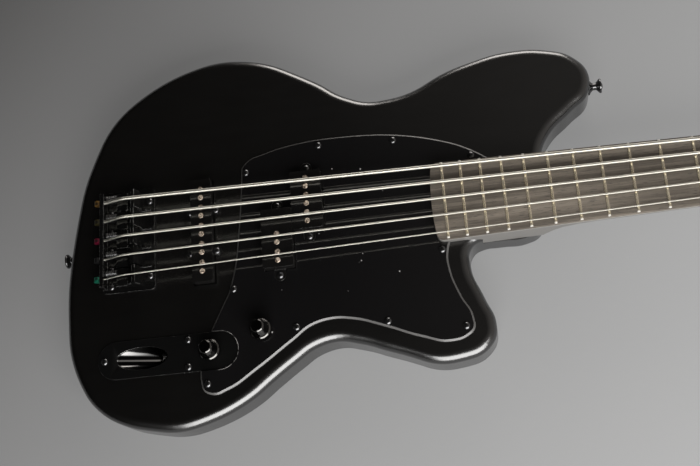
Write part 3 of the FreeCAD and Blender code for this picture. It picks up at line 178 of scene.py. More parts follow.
satin_black, at = finish("satin_black_lacquer")
clouds = at.noise(9, 4)
rubs_and_painted_streak = at.stretched(30, 140, 140).noise(1, 5)
at.paint(relief=at.noise(2600, 2) + at.noise(320, 2) * 0.6, depth=0.00004, strength=0.35,
         Base_Color=clouds.mix((0.0012, 0.0011, 0.0010, 1), (0.0019, 0.0017, 0.0015, 1)),
         Roughness=0.20 + clouds * 0.05 + rubs_and_painted_streak * 0.04, Specular_IOR_Level=1.0,
         Coat_Weight=0.5, Coat_Roughness=0.23)
apply_finish(satin_black, "body")

# Neck: a maple shaft with a paddle headstock, rounded at the back and bolted into the body's pocket.
# It is stained dark grey under a thin satin finish; a pale line along its side just under the fingerboard is a
# painted highlight.
# The headstock's face is sprayed black to match the body.
satin_neck, at = finish("satin_dark_neck")
clouds = at.noise(14, 4)
fibres = at.stretched(40, 900, 900).noise(1, 3)
headstock_start = 0.872
board_end = 0.866
sprayed = at.upward().step(0.60, 0.80) * at.part("X").step(headstock_start, headstock_start + 0.002)
stain = (clouds * 0.6 + fibres * 0.4).mix((0.104, 0.100, 0.094, 1), (0.140, 0.135, 0.128, 1))
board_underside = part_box("fingerboard")[0].z
# Painted highlight: a pale line along the neck's side just under the fingerboard.
painted_edge_highlight = (at.part("Z").step(board_underside - 0.0009, board_underside - 0.0006)
         * (1 - at.part("X").step(board_end, board_end + 0.002)))
at.paint(relief=at.noise(2600, 2) + fibres * 0.8, depth=0.00004, strength=0.3,
         Base_Color=sprayed.mix(painted_edge_highlight.mix(stain, (0.34, 0.33, 0.31, 1)), (0.0030, 0.0028, 0.0026, 1)),
         Roughness=0.34 - sprayed * 0.08 + clouds * 0.06 + fibres * 0.05, Specular_IOR_Level=0.7)
apply_finish(satin_neck, "neck")

# Truss rod: a steel rod in a slot under the fingerboard, adjusted from the headstock.
# Cold-drawn, with fine marks along its length.
drawn_steel, at = finish("drawn_steel")
marks = at.stretched(60, 2500, 2500).noise(1, 3)
at.paint(relief=marks, depth=0.00003,
         Base_Color=marks.mix((0.42, 0.42, 0.43, 1), (0.58, 0.58, 0.58, 1)),
         Metallic=1.0, Roughness=0.25 + marks * 0.2)
apply_finish(drawn_steel, "truss_rod")

# Fingerboard: a strip of open-grained dark wood glued on the neck and crowned across its width.
# It is oiled, not lacquered, so the streaks and pores along it stay open and dry.
board_wood, at = finish("oiled_board_wood")
streaks = at.stretched(5, 85, 30).noise(1, 5, 0.62)
fibres = at.stretched(16, 800, 300).noise(1, 4)
pores = at.stretched(110, 2300, 900).noise(1, 2).step(0.60, 0.68)
shade = (streaks * 0.75 + fibres * 0.25).step(0.32, 0.66)
wood = shade.mix((0.054, 0.044, 0.034, 1), (0.182, 0.156, 0.126, 1))
at.paint(relief=fibres * 0.4 - pores, depth=0.00012, strength=0.6,
         Base_Color=pores.mix(wood, (0.028, 0.023, 0.019, 1)),
         Roughness=0.52 + fibres * 0.16)
apply_finish(board_wood, "fingerboard")

# Frets: twenty lengths of nickel-silver wire, pressed into slots across the board and dressed round at their ends.
# The crowns are polished, with faint marks across them; the filed ends are painted pale and matt as a painted
# highlight.
fret_silver, at = finish("nickel_silver_fret_wire")
marks = at.stretched(2200, 60, 500).noise(1, 3)
dull = at.noise(120, 3)
board_taper = 0.0212
# Painted highlight: the outer ends of the frets are pale and hardly metallic.
ends = (abs(at.part("Y")) + at.part("X") * board_taper).step(0.0388, 0.0402)
crown = dull.mix((0.86, 0.74, 0.52, 1), (0.97, 0.90, 0.74, 1))
at.paint(relief=marks, depth=0.00002, Base_Color=ends.mix(crown, (0.88, 0.86, 0.81, 1)),
         Metallic=0.82 - ends * 0.72, Roughness=0.17 + dull * 0.14)
apply_finish(fret_silver, "frets")

# Nut: a slip of bleached bone in a slot at the board's end, with a groove for each string.
# It is polished by hand and keeps a little of its yellow mottling.
bone, at = finish("bleached_bone")
mottle = at.noise(220, 4)
at.paint(relief=at.noise(1800, 2), depth=0.00003, strength=0.4,
         Base_Color=mottle.step(0.3, 0.7).mix((0.72, 0.67, 0.56, 1), (0.84, 0.80, 0.71, 1)),
         Roughness=0.28 + mottle * 0.12)


def placed(name, data):
    """A new object with that mesh, lamp or camera, put in the scene."""
    made = bpy.data.objects.new(name, data)
    bpy.context.scene.collection.objects.link(made)
    return made


def settled(holder):
    """The mesh that an object's modifiers make of it; the object itself is taken away."""
    graph = bpy.context.evaluated_depsgraph_get()
    mesh = bpy.data.meshes.new_from_object(holder.evaluated_get(graph), depsgraph=graph)
    holder.modifiers.clear()
    bpy.data.objects.remove(holder)
    return mesh


def eased(name, width, material, body="instrument"):
    """A copy of a node with its sharp edges rounded over by that width, to stand in its place.

    Its attribute "edge" is 1 on the rounded edges and 0 elsewhere.
    """
    form = bmesh.new()
    form.from_mesh(nodes[name].data)
    bmesh.ops.remove_doubles(form, verts=form.verts, dist=1e-6)
    bmesh.ops.dissolve_limit(form, angle_limit=math.radians(0.5), verts=form.verts, edges=form.edges)
    mesh = bpy.data.meshes.new(name + "_edges")
    form.to_mesh(mesh)
    form.free()
    flats, rounds = 0, 1
    mesh.materials.clear()
    for _ in (flats, rounds):
        mesh.materials.append(material)
    mesh.shade_smooth()
    mesh.set_sharp_from_angle(angle=math.radians(22))
    blank = placed(name + "_edges", mesh)
    bevel = blank.modifiers.new("edge", "BEVEL")
    bevel.width = width
    bevel.segments = 2
    bevel.limit_method = "ANGLE"
    bevel.angle_limit = math.radians(34)
    bevel.harden_normals = True
    bevel.material = rounds
    shape = settled(blank)
    edge = shape.attributes.new("edge", "FLOAT", "FACE")
    edge.data.foreach_set("value", [float(face.material_index) for face in shape.polygons])
    shape.polygons.foreach_set("material_index", [flats] * len(shape.polygons))
    shape.materials.clear()
    shape.materials.append(material)
    piece = placed(name + "_eased", shape)
    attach(piece, body)
    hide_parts(name)


eased("nut", 0.0004, bone)

# Neck bolts: four cross-head screws through the body into the neck's heel, each in a recessed ferrule.
# All are steel with a thin black plating that shines a little on the rounded rims.
black_steel, at = finish("black_plated_steel")
cloud = at.noise(160, 4)
scuff = at.noise(900, 5, 0.7).step(0.62, 0.72)
at.paint(relief=at.noise(2400, 2), depth=0.00002, strength=0.5,
         Base_Color=scuff.mix((0.115, 0.115, 0.117, 1), (0.180, 0.177, 0.172, 1)),
         Metallic=0.95, Roughness=0.14 + cloud * 0.12)
apply_finish(black_steel, "neck_screws")
eased("neck_ferrules", 0.0004, black_steel)


def shape_tree(name, **sizes):
    """A shape tree with named inputs, and a wire from each of them."""
    tree = bpy.data.node_groups.new(name, "GeometryNodeTree")
    tree.interface.new_socket("Shape", in_out="OUTPUT", socket_type="NodeSocketGeometry")
    tree.interface.new_socket("Start", in_out="INPUT", socket_type="NodeSocketGeometry")
    for size, kind in sizes.items():
        tree.interface.new_socket(size, in_out="INPUT", socket_type="NodeSocket" + kind)
    entry = tree.nodes.new("NodeGroupInput")
    return tree, {socket.name: Wire(tree, socket) for socket in entry.outputs if socket.name}


def close_tree(shape, material):
    """Ends a shape tree: what it made becomes a plain mesh with that finish."""
    real = shape.node("GeometryNodeRealizeInstances", None, {0: shape})
    dressed = real.node("GeometryNodeSetMaterial", None, {"Geometry": real, "Material": material})
    dressed.node("NodeGroupOutput", None, {0: dressed})


def grown(name, tree, points, edges, **inputs):
    """Runs a shape tree on a start of points and edges, and keeps what it makes as a plain mesh."""
    start = bpy.data.meshes.new(name + "_start")
    start.from_pydata(points, edges, [])
    holder = placed(name + "_start", start)
    modifier = holder.modifiers.new("shape", "NODES")
    modifier.node_group = tree
    for socket in tree.interface.items_tree:
        if socket.in_out == "INPUT" and socket.name in inputs:
            modifier[socket.identifier] = inputs[socket.name]
    return placed(name, settled(holder))


def turned(name, profile, sides):
    """A closed solid of revolution about Z from (radius, height) points that start and end on the axis."""
    form = bmesh.new()
    low = form.verts.new((0, 0, profile[0][1]))
    high = form.verts.new((0, 0, profile[-1][1]))
    rings = []
    angles = [2 * math.pi * k / sides for k in range(sides)]
    for radius, height in profile[1:-1]:
        rings.append([form.verts.new((radius * math.cos(angle), radius * math.sin(angle), height))
                      for angle in angles])
    for k in range(sides):
        after = (k + 1) % sides
        form.faces.new((low, rings[0][after], rings[0][k]))
        form.faces.new((high, rings[-1][k], rings[-1][after]))
        for lower, upper in zip(rings, rings[1:]):
            form.faces.new((lower[k], lower[after], upper[after], upper[k]))
    mesh = bpy.data.meshes.new(name)
    form.to_mesh(mesh)
    form.free()
    return mesh


def recessed(blank, blades, half_length, half_width, floor):
    """The blank with a driver's recess of that many crossed blades cut into its top."""
    cutter = bmesh.new()
    for k in range(blades):
        turn = Matrix.Rotation(math.pi * k / blades, 4, "Z")
        size = Matrix.Diagonal((2 * half_length, 2 * half_width, 2, 1))
        bmesh.ops.create_cube(cutter, size=1, matrix=turn @ Matrix.Translation((0, 0, floor + 1)) @ size)
    tool_mesh = bpy.data.meshes.new("driver_tip")
    cutter.to_mesh(tool_mesh)
    cutter.free()
    tool = placed("driver_tip", tool_mesh)
    work = placed("screw_blank", blank)
    cut = work.modifiers.new("recess", "BOOLEAN")
    cut.object = tool
    cut.solver = "EXACT"
    cut.use_self = True
    mesh = settled(work)
    bpy.data.objects.remove(tool)
    mesh.shade_smooth()
    mesh.set_sharp_from_angle(angle=math.radians(35))
    return mesh


pan_profile = [(0, -0.25), (0.97, -0.25), (1.0, 0.0), (0.97, 0.14), (0.84, 0.33), (0.55, 0.47), (0.22, 0.52),
               (0, 0.53)]
pan_head = recessed(turned("pan_head", pan_profile, 24), blades=2, half_length=0.56, half_width=0.11, floor=0.05)
screw_tree, given = shape_tree("screw_row", Head="Object", Radius="Float", Facing="Vector", Seed="Int",
                               Finish="Material")
head = given["Head"].node("GeometryNodeObjectInfo", None, {0: given["Head"], "As Instance": True}, "Geometry")
spin = given["Seed"].node("FunctionNodeRandomValue", {"data_type": "FLOAT"},
                          {2: 0.0, 3: 3.1, "Seed": given["Seed"]}, 1)
turn = spin.node("FunctionNodeAxisAngleToRotation", None, {"Axis": (0, 0, 1), "Angle": spin})
face = turn.node("FunctionNodeEulerToRotation", None, {0: given["Facing"]})
both = face.node("FunctionNodeRotateRotation", {"rotation_space": "LOCAL"}, {0: face, 1: turn})
row = both.node("GeometryNodeMeshToPoints", None, {0: given["Start"]})
row = row.node("GeometryNodeInstanceOnPoints", None, {
    "Points": row, "Instance": head, "Rotation": both, "Scale": given["Radius"]})
close_tree(row, given["Finish"])
UPWARDS = (0, 0, 0)
DOWNWARDS = (math.pi, 0, 0)
TO_THE_TAIL = (0, -math.pi / 2, 0)
TO_THE_HEAD = (0, math.pi / 2, 0)


def screws(name, places, radius, seed, head=pan_head, facing=UPWARDS, body="instrument"):
    """A row of black screw heads on one body, each turned as it was left by the driver."""
    pattern = placed("screw_pattern", head)
    piece = grown(name, screw_tree, places, [], Head=pattern, Radius=radius, Facing=facing, Seed=seed,
                  Finish=black_steel)
    bpy.data.objects.remove(pattern)
    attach(piece, body)


low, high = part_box("neck_screws")
bolt_head_radius = 0.0045
head_seat = low.z + 0.0016
bolt_aside = 0.019
bolt_holes = [(x, y, head_seat) for x in (low.x + bolt_head_radius, high.x - bolt_head_radius)
              for y in (bolt_aside, -bolt_aside)]
screws("neck_bolt_heads", bolt_holes, 0.0044, seed=4, facing=DOWNWARDS)

# Pickguard: black plastic sheet with a bevelled rim, screwed to the face round the split pickup.
# The face is glossy with dust and hairline marks on it; the cut bevel is left dull and grey.
# Where it is trimmed round the end of the control plate, a light arc on its face is a painted highlight.
guard_gloss, at = finish("gloss_black_guard")
face = at.upward().step(0.90, 0.99)
dust = at.node("ShaderNodeTexVoronoi", None, {"Vector": at, "Scale": 150.0, "Randomness": 1.0}, "Distance")
sparse = at.noise(60, 2).step(0.61, 0.66)
speck = (1 - dust.step(0.05, 0.13)) * sparse * face
ripple = at.noise(26, 3)
hairs = at.stretched(500, 24, 200).noise(1, 3).step(0.72, 0.80) * at.noise(30, 2).step(0.55, 0.65)
sheet = face.mix((0.070, 0.068, 0.066, 1), (0.0045, 0.0043, 0.0045, 1))
plate_end = (0.0656, -0.109, 0)
from_end = at.stretched(1, 1, 0).distance(plate_end)
# Painted highlight: a light arc on the face round the end of the control plate.
painted_arc_highlight = ((1 - from_end.step(0.0173, 0.0177)) * at.part("X").step(0.060, 0.072)
           * at.noise(160, 2).step(0.36, 0.60))
sheet = (painted_arc_highlight * face).mix(sheet, (0.30, 0.29, 0.28, 1))
at.paint(relief=ripple * 6 + at.noise(900, 2) * 0.25 + hairs * 0.5, depth=0.00004, strength=0.35,
         Base_Color=speck.mix(sheet, (0.42, 0.41, 0.40, 1)), Specular_IOR_Level=0.8,
         Roughness=0.40 - face * 0.31 + hairs * 0.2 + speck * 0.4)
apply_finish(guard_gloss, "pickguard")
guard_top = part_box("pickguard")[1].z
guard_holes = [(0.0955, 0.0515), (0.1634, 0.0693), (0.2311, 0.0651), (0.2987, 0.0418), (0.2654, -0.0415),
               (0.2792, -0.1104), (0.2137, -0.0994), (0.1347, -0.0962), (0.0548, -0.1376), (0.0804, -0.0563)]
screws("pickguard_screws", [(x, y, guard_top) for x, y in guard_holes], 0.0032, seed=11)

# Control plate: a rounded strip of black sheet metal with a pressed dish for the plug.
# Its flat is matt, with a painted highlight of bright metal round its rounded rim; the dish is polished under its
# black plating, with a painted highlight streak along its middle and painted reflection on its flanks towards the
# tail end.
plate_black, at = finish("black_control_plate")
plate_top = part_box("control_plate")[1].z
dish = 1 - at.part("Z").step(plate_top - 0.0010, plate_top - 0.0004)
brushed = at.stretched(40, 900, 900).noise(1, 3)
# Painted highlight: the rounded rim round the flat is bright metal.
rim = at.stored("edge") * (1 - dish)
flat = rim.mix((0.0016, 0.0016, 0.0016, 1), (0.30, 0.30, 0.29, 1))
# Painted reflection: the dish's flanks are lighter towards the tail end.
painted_flank_reflection = at.part("X").step(-0.026, 0.006).mix((0.130, 0.129, 0.127, 1), (0.008, 0.008, 0.008, 1))
plate_to_treble = 0.1090
off_axis = abs(at.part("Y") + plate_to_treble)
flanks = off_axis.step(0.0040, 0.0052)
# Painted highlight: a thin light streak along the middle of the dish, towards the tail end.
rubs_and_painted_streak = (1 - off_axis.step(0.0004, 0.0010)) * (1 - at.part("X").step(0.010, 0.014))
polished = flanks.mix(rubs_and_painted_streak.mix((0.008, 0.008, 0.008, 1), (0.62, 0.62, 0.61, 1)), painted_flank_reflection)
at.paint(relief=brushed, depth=0.00002, strength=0.3, Base_Color=dish.mix(flat, polished),
         Metallic=dish * 0.95 + rim * 0.9, Roughness=0.32 - dish * 0.20 - rim * 0.10 + brushed * 0.06,
         Specular_IOR_Level=0.3)
eased("control_plate", 0.0004, plate_black)
plate_holes = ((-0.038, -0.109), (0.0377, -0.097), (0.0377, -0.121))
screws("control_plate_screws", [(x, y, plate_top) for x, y in plate_holes], 0.0032, seed=3)

# Output jack: a threaded bush with its hexagon nut in the dish's end wall, contacts behind.
# The bush and nut are black plated like the plate.
apply_finish(black_steel, "output_jack")

# Potentiometers: two stacked pairs in pressed steel cans under the face.
# The cans are bright zinc plate with a faint spangle.
zinc, at = finish("zinc_plated_can")
spangle = at.node("ShaderNodeTexVoronoi", None, {"Vector": at, "Scale": 420.0}, "Color").part("X")
at.paint(Base_Color=spangle.mix((0.50, 0.50, 0.50, 1), (0.66, 0.66, 0.65, 1)),
         Metallic=1.0, Roughness=0.26 + spangle * 0.16)
apply_finish(zinc, "pots")

# Knobs: two stacked pairs, a wide ring below and a tapered cap above, each on its own shaft.
# They are turned metal, black plated and polished, with a bright glint round each edge.
knob_black, at = finish("polished_black_knob")
cloud = at.noise(90, 3)
lathe = at.stretched(1, 1, 2600).noise(1, 2)
at.paint(relief=lathe, depth=0.00001, strength=0.4,
         Base_Color=cloud.mix((0.085, 0.083, 0.080, 1), (0.120, 0.117, 0.112, 1)),
         Metallic=1.0, Roughness=0.09 + cloud * 0.06)
for knob in ("volume_knob", "balance_knob", "treble_knob", "bass_knob"):
    eased(knob, 0.0005, knob_black, body=knob)

# Preamplifier: a small fibreglass board on the floor of the control cavity.
# Copper tracks show through its green varnish as lighter lines.
varnish, at = finish("green_varnished_board")
tracks = at.node("ShaderNodeTexBrick", None, {"Vector": at, "Scale": 260.0, "Mortar Size": 0.05}, "Fac")
speck = at.noise(500, 3)
at.paint(relief=tracks, depth=0.00004, strength=0.4,
         Base_Color=tracks.mix((0.010, 0.075, 0.035, 1), (0.055, 0.20, 0.10, 1)),
         Roughness=0.28 + speck * 0.2)
apply_finish(varnish, "preamp_board")

# Battery and its box: a moulded box let into the back, with a lid on a moulded pin and a block battery inside.
# Box and lid have the fine even grain of moulded plastic; the battery is a painted steel case.
moulded, at = finish("moulded_black_plastic")
grain = at.node("ShaderNodeTexVoronoi", None, {"Vector": at, "Scale": 1500.0}, "Distance")
at.paint(relief=grain + at.noise(700, 3), depth=0.00004, strength=0.5,
         Base_Color=at.noise(60, 3).mix((0.012, 0.012, 0.0125, 1), (0.019, 0.019, 0.019, 1)),
         Roughness=0.40 + grain * 0.15)
apply_finish(moulded, "battery_box", "battery_lid")
battery_paint, at = finish("painted_battery_case")
band = at.part("X").step(-0.012, -0.0118)
wear_and_painted_glint = at.noise(140, 4)
at.paint(relief=wear_and_painted_glint, depth=0.00003, strength=0.3,
         Base_Color=band.mix((0.42, 0.19, 0.05, 1), (0.018, 0.018, 0.020, 1)),
         Roughness=0.30 + wear_and_painted_glint * 0.15, Metallic=0.3)
apply_finish(battery_paint, "battery")

# Pickup windings: thousands of turns of enamelled copper wire on each bobbin, inside the covers.
# The turns lie in fine level rows.
enamel, at = finish("enamelled_copper_turns")
rows = at.node("ShaderNodeTexWave", {"bands_direction": "Z"}, {"Vector": at, "Scale": 900.0, "Distortion": 0.4})
at.paint(relief=rows, depth=0.00008,
         Base_Color=rows.mix((0.20, 0.06, 0.02, 1), (0.42, 0.15, 0.06, 1)),
         Metallic=0.8, Roughness=0.30 + rows * 0.1)
apply_finish(enamel, "pickup_coils")

# Pickup covers: moulded black shells, two short ones under the guard's cut-outs and a long one in the body.
# They are satin with a very fine grain; the lighter colour along the rounded edges is a painted highlight.
cover_satin, at = finish("satin_black_cover")
grain = at.noise(1900, 2)
rub = at.noise(70, 4)
shell = rub.mix((0.0036, 0.0034, 0.0033, 1), (0.0056, 0.0053, 0.0051, 1))
# Painted highlight: the rounded edges are lighter than the shell.
at.paint(relief=grain, depth=0.00003, strength=0.3,
         Base_Color=at.stored("edge").mix(shell, (0.034, 0.033, 0.032, 1)),
         Roughness=0.13 + rub * 0.08, Specular_IOR_Level=0.9)
eased("neck_pickup_covers", 0.0006, cover_satin)
eased("bridge_pickup_cover", 0.0006, cover_satin)
split_middles = ((0.1511, 0.01625), (0.1230, -0.01625))
bar_middle = 0.0546
ear_top = 0.0447
split_ear = 0.0322
bar_ear_forward, bar_ear_aside = 0.0121, 0.0193
ear_holes = [(x, y + side * split_ear, ear_top) for x, y in split_middles for side in (1, -1)]
ear_holes += [(bar_middle + end * bar_ear_forward, side * bar_ear_aside, ear_top)
              for end in (1, -1) for side in (1, -1)]
screws("pickup_screws", ear_holes, 0.0031, seed=7)

# Pole pieces: a pair of round magnets under each string, standing just proud of the covers.
# Their ground ends have a warm tarnish and fine scratches.
pole_metal, at = finish("ground_magnet_ends")
scratch = at.stretched(1400, 180, 400).noise(1, 3)
tarnish = at.noise(620, 4)
at.paint(relief=scratch, depth=0.00003, strength=0.7,
         Base_Color=tarnish.step(0.36, 0.62).mix((0.16, 0.12, 0.085, 1), (0.72, 0.61, 0.50, 1)),
         Metallic=0.5, Roughness=0.20 + tarnish * 0.16)
eased("pickup_poles", 0.0006, pole_metal)

# Bridge: a bent steel plate with a tail wall, ribs that keep the saddles straight, and eight wood screws.
# It is black plated and dull on the flats, with a patchy painted highlight of bright metal along its rounded edges.
bridge_black, at = finish("black_plated_bridge")
cloud = at.noise(120, 4)
brushed = at.stretched(60, 1200, 600).noise(1, 3)
# Painted highlight: the rounded edges are pale and less metallic in patches.
wear_and_painted_glint = at.stored("edge") * (0.4 + cloud * 0.8)
plated = cloud.mix((0.030, 0.030, 0.030, 1), (0.065, 0.065, 0.064, 1))
at.paint(relief=brushed + at.noise(1500, 2), depth=0.00003, strength=0.4,
         Base_Color=wear_and_painted_glint.mix(plated, (0.75, 0.74, 0.72, 1)),
         Metallic=0.95 - wear_and_painted_glint * 0.5, Roughness=0.15 + cloud * 0.08 + brushed * 0.05)
eased("bridge_plate", 0.0004, bridge_black)
bridge_floor = 0.0445
bridge_holes = [(-0.0312, side * y, bridge_floor) for y in (0.0089, 0.0266, 0.042) for side in (1, -1)]
bridge_holes += [(0.005, side * 0.0355, bridge_floor) for side in (1, -1)]
screws("bridge_screws", bridge_holes, 0.0030, seed=9)

# Saddles: five black-plated blocks, one under each string, that slide along the plate.
# The edges carry a patchy painted highlight of bright metal, and each stands on two small grub screws with a
# hexagon socket.
saddle_black, at = finish("black_plated_saddle")
cloud = at.noise(240, 4)
brushed = at.stretched(300, 60, 900).noise(1, 3)
# Painted highlight: patches of the rounded edges are pale and less metallic.
wear_and_painted_glint = at.stored("edge") * cloud.step(0.40, 0.60)
plated = cloud.mix((0.030, 0.030, 0.030, 1), (0.070, 0.070, 0.069, 1))
at.paint(relief=brushed, depth=0.00003, strength=0.5, Base_Color=wear_and_painted_glint.mix(plated, (0.50, 0.50, 0.49, 1)),
         Metallic=0.95 - wear_and_painted_glint * 0.4, Roughness=0.12 + cloud * 0.08 + brushed * 0.05)
grub_profile = [(0, -2.0), (0.9, -2.0), (1.0, -1.8), (1.0, 0.6), (0.82, 0.8), (0, 0.8)]
grub_head = recessed(turned("grub_screw", grub_profile, 18), blades=3, half_length=0.52, half_width=0.30, floor=0.1)
grub_forward, grub_aside, grub_height = 0.0165, 0.0060, 0.0059
string_numbers = range(1, 6)
for number in string_numbers:
    saddle = f"saddle_{number}"
    eased(saddle, 0.0004, saddle_black, body=saddle)
    low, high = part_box(saddle)
    middle = (low.y + high.y) / 2
    grubs = [(low.x + grub_forward, middle + side * grub_aside, low.z + grub_height) for side in (1, -1)]
    screws(saddle + "_height_screws", grubs, 0.0013, seed=number, head=grub_head, body=saddle)


# Intonation screws: five long screws through the tail wall that set how far forward each saddle stands.
# Plated black like the saddles, with a rolled thread and a crossed recess in the head.
def threaded(name, radius, depth, pitch, start, end, axis):
    """A threaded rod along X, its radius falling by depth between the turns of the thread."""
    sides, steps = 16, 6
    form = bmesh.new()
    rings = []
    for k in range(int((end - start) / pitch * steps) + 1):
        ring = []
        for j in range(sides):
            phase = (k / steps - j / sides) % 1.0
            out = radius - depth * abs(2 * phase - 1)
            angle = 2 * math.pi * j / sides
            ring.append(form.verts.new((start + k * pitch / steps, axis.y + out * math.cos(angle),
                                        axis.z + out * math.sin(angle))))
        rings.append(ring)
    for lower, upper in zip(rings, rings[1:]):
        for j in range(sides):
            after = (j + 1) % sides
            form.faces.new((lower[j], upper[j], upper[after], lower[after]))
    form.faces.new(rings[0])
    form.faces.new(rings[-1][::-1])
    bmesh.ops.recalc_face_normals(form, faces=form.faces)
    mesh = bpy.data.meshes.new(name)
    form.to_mesh(mesh)
    form.free()
    mesh.shade_smooth()
    mesh.materials.append(black_steel)
    return placed(name, mesh)


for number in string_numbers:
    screw = f"intonation_screw_{number}"
    low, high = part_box(screw)
    middle = (low + high) / 2
    rod = threaded(screw + "_thread", radius=0.0015, depth=0.00022, pitch=0.0007, start=low.x + 0.0020, end=high.x,
                   axis=middle)
    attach(rod, screw)
    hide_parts(screw)
    screws(screw + "_head", [(low.x + 0.0012, middle.y, middle.z)], 0.0024, seed=number, facing=TO_THE_TAIL,
           body=screw)

# Springs: a compression spring on each intonation screw, between tail wall and saddle.
# Wound of bright music wire with a closed coil at each end. It pushes the saddle forward, which keeps the
# screw's head tight against the wall.
spring_wire, at = finish("bright_spring_wire")
marks = at.stretched(200, 1500, 1500).noise(1, 2)
at.paint(relief=marks, depth=0.00002,
         Base_Color=marks.mix((0.10, 0.10, 0.10, 1), (0.24, 0.24, 0.24, 1)),
         Metallic=1.0, Roughness=0.22 + marks * 0.14)
wire_tree, given = shape_tree("bent_wire", Radius="Float", Sides="Int", Finish="Material")
path = given["Start"].node("GeometryNodeMeshToCurve", None, {0: given["Start"]})
run = path.node("GeometryNodeSplineParameter", None, None, "Length")
path = path.node("GeometryNodeStoreNamedAttribute", {"data_type": "FLOAT", "domain": "POINT"},
                 {"Geometry": path, "Name": "along", "Value": run})
ring = path.node("GeometryNodeCurvePrimitiveCircle", None,
                 {"Resolution": given["Sides"], "Radius": given["Radius"]})
tube = ring.node("GeometryNodeCurveToMesh", None, {0: path, 1: ring, "Fill Caps": True})
tube = tube.node("GeometryNodeSetShadeSmooth", None, {0: tube})
close_tree(tube, given["Finish"])


def bent_wire(name, points, radius, sides, material):
    """A round wire along a row of points; its attribute "along" is the length from its start."""
    links = [(k, k + 1) for k in range(len(points) - 1)]
    return grown(name, wire_tree, points, links, Radius=radius, Sides=sides, Finish=material)


coil_radius = 0.0023
wire_radius = 0.0004
closed_pitch = 2.2 * wire_radius
coil_turns = 6
steps_in_turn = 20
for number in string_numbers:
    low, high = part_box(f"spring_{number}")
    centre = (low + high) / 2
    length = high.x - low.x - 2 * wire_radius
    open_pitch = (length - 2 * closed_pitch) / (coil_turns - 2)
    coil = []
    for k in range(coil_turns * steps_in_turn + 1):
        turn = k / steps_in_turn
        place = turn * closed_pitch if turn < 1 else closed_pitch + (turn - 1) * open_pitch
        if turn > coil_turns - 1:
            place = length - (coil_turns - turn) * closed_pitch
        angle = 2 * math.pi * turn
        coil.append((low.x + wire_radius + place, centre.y + coil_radius * math.cos(angle),
                     centre.z + coil_radius * math.sin(angle)))
    spring = bent_wire(f"saddle_spring_{number}", coil, wire_radius, 8, spring_wire)
    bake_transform(spring)
    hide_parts(f"spring_{number}")

# Ball ends: the little grooved barrels that the strings are twisted round, behind the tail wall.
# Each has its own colour of lacquer on brass; a dark disc through its middle is painted shade for the hole.
ball_colours, at = finish("lacquered_ball_ends")
sideways = at.part("Y")
half_row = 0.044
half_gap = 0.008875
place = (sideways + half_row) * (1 / (2 * half_row))
stops = [(0.0, (0.004, 0.085, 0.050, 1)), (0.2, (0.006, 0.006, 0.006, 1)), (0.4, (0.080, 0.002, 0.013, 1)),
         (0.6, (0.018, 0.015, 0.004, 1)), (0.8, (0.085, 0.046, 0.010, 1))]
tint = place.node("ShaderNodeValToRGB", {"stops": stops, "steps": "CONSTANT"}, {0: place})
beside = sideways.node("ShaderNodeMath", {"operation": "WRAP"}, {0: sideways, 1: half_gap, 2: -half_gap})
behind = at.part("X") + 0.0415
# Painted shade: a dark disc through the middle of each ball end, where its hole is.
painted_hole_shade = 1 - (beside * beside + behind * behind).step(0.0010 ** 2, 0.0017 ** 2)
rubs_and_painted_streak = at.noise(700, 4)
at.paint(relief=rubs_and_painted_streak, depth=0.00003, Base_Color=(painted_hole_shade * 0.85).mix(tint, (0.004, 0.004, 0.004, 1)),
         Metallic=0.3, Roughness=0.28 + rubs_and_painted_streak * 0.1)
apply_finish(ball_colours, "ball_ends")

# Strings: steel cores wound with round nickel-plated wire, from the ball ends over saddles and nut to the posts.
# The winding shows as a fine ribbed shine along each string, and each takes a turn and a half round its post.
wound_nickel, at = finish("round_wound_nickel")
wrap_width = 0.0006
along = at.stored("along")
ribs = along.node("ShaderNodeMath", {"operation": "SINE"}, {0: along * (2 * math.pi / wrap_width)})
grime = at.noise(45, 4)
at.paint(relief=ribs, depth=0.00008, strength=0.5,
         Base_Color=grime.mix((0.46, 0.445, 0.395, 1), (0.55, 0.535, 0.48, 1)),
         Metallic=1.0, Roughness=0.31 + grime * 0.12)
string_radii = (0.00165, 0.00133, 0.00108, 0.00083, 0.00057)
posts = ((0.925, 0.027), (0.968, 0.027), (1.011, 0.027), (0.983, -0.027), (0.940, -0.027))
scale_length = 0.864
saddle_spacing = 0.01775
spacing_lost = 0.0086
lift_at_saddle = 0.0042
lift_at_nut = 0.0017
board_top = 0.0547
crown_diameter = 0.610
ball_place = -0.0384
ball_height = 0.0515
wall_hole = -0.0355
tail_place = -0.035
saddle_crest = -0.0165
nut_place = 0.8715
post_radius = 0.0053
bushing_top = 0.0422 + 0.0044
turn_gap = 0.0006
steps_in_turn = 24
winding_steps = 36
bend_radius = 0.020
bend_steps = 6


def over_board(x, row, radius):
    """Where the middle of a string runs at a place along the neck; its row counts from the middle string."""
    y = row * (saddle_spacing - spacing_lost * x / scale_length)
    lift = lift_at_saddle + (lift_at_nut - lift_at_saddle) * x / scale_length
    return Vector((x, y, board_top - y * y / crown_diameter + lift + radius))


def bent(route):
    """The route as far as its last corner, with each corner rounded."""
    points = [route[0]]
    for before, corner, after in zip(route, route[1:], route[2:]):
        inward = (corner - before).normalized()
        outward = (after - corner).normalized()
        reach = bend_radius * math.tan(inward.angle(outward) / 2)
        for k in range(bend_steps + 1):
            share = k / bend_steps
            first = (corner - inward * reach).lerp(corner, share)
            points.append(first.lerp(corner.lerp(corner + outward * reach, share), share))
    return points


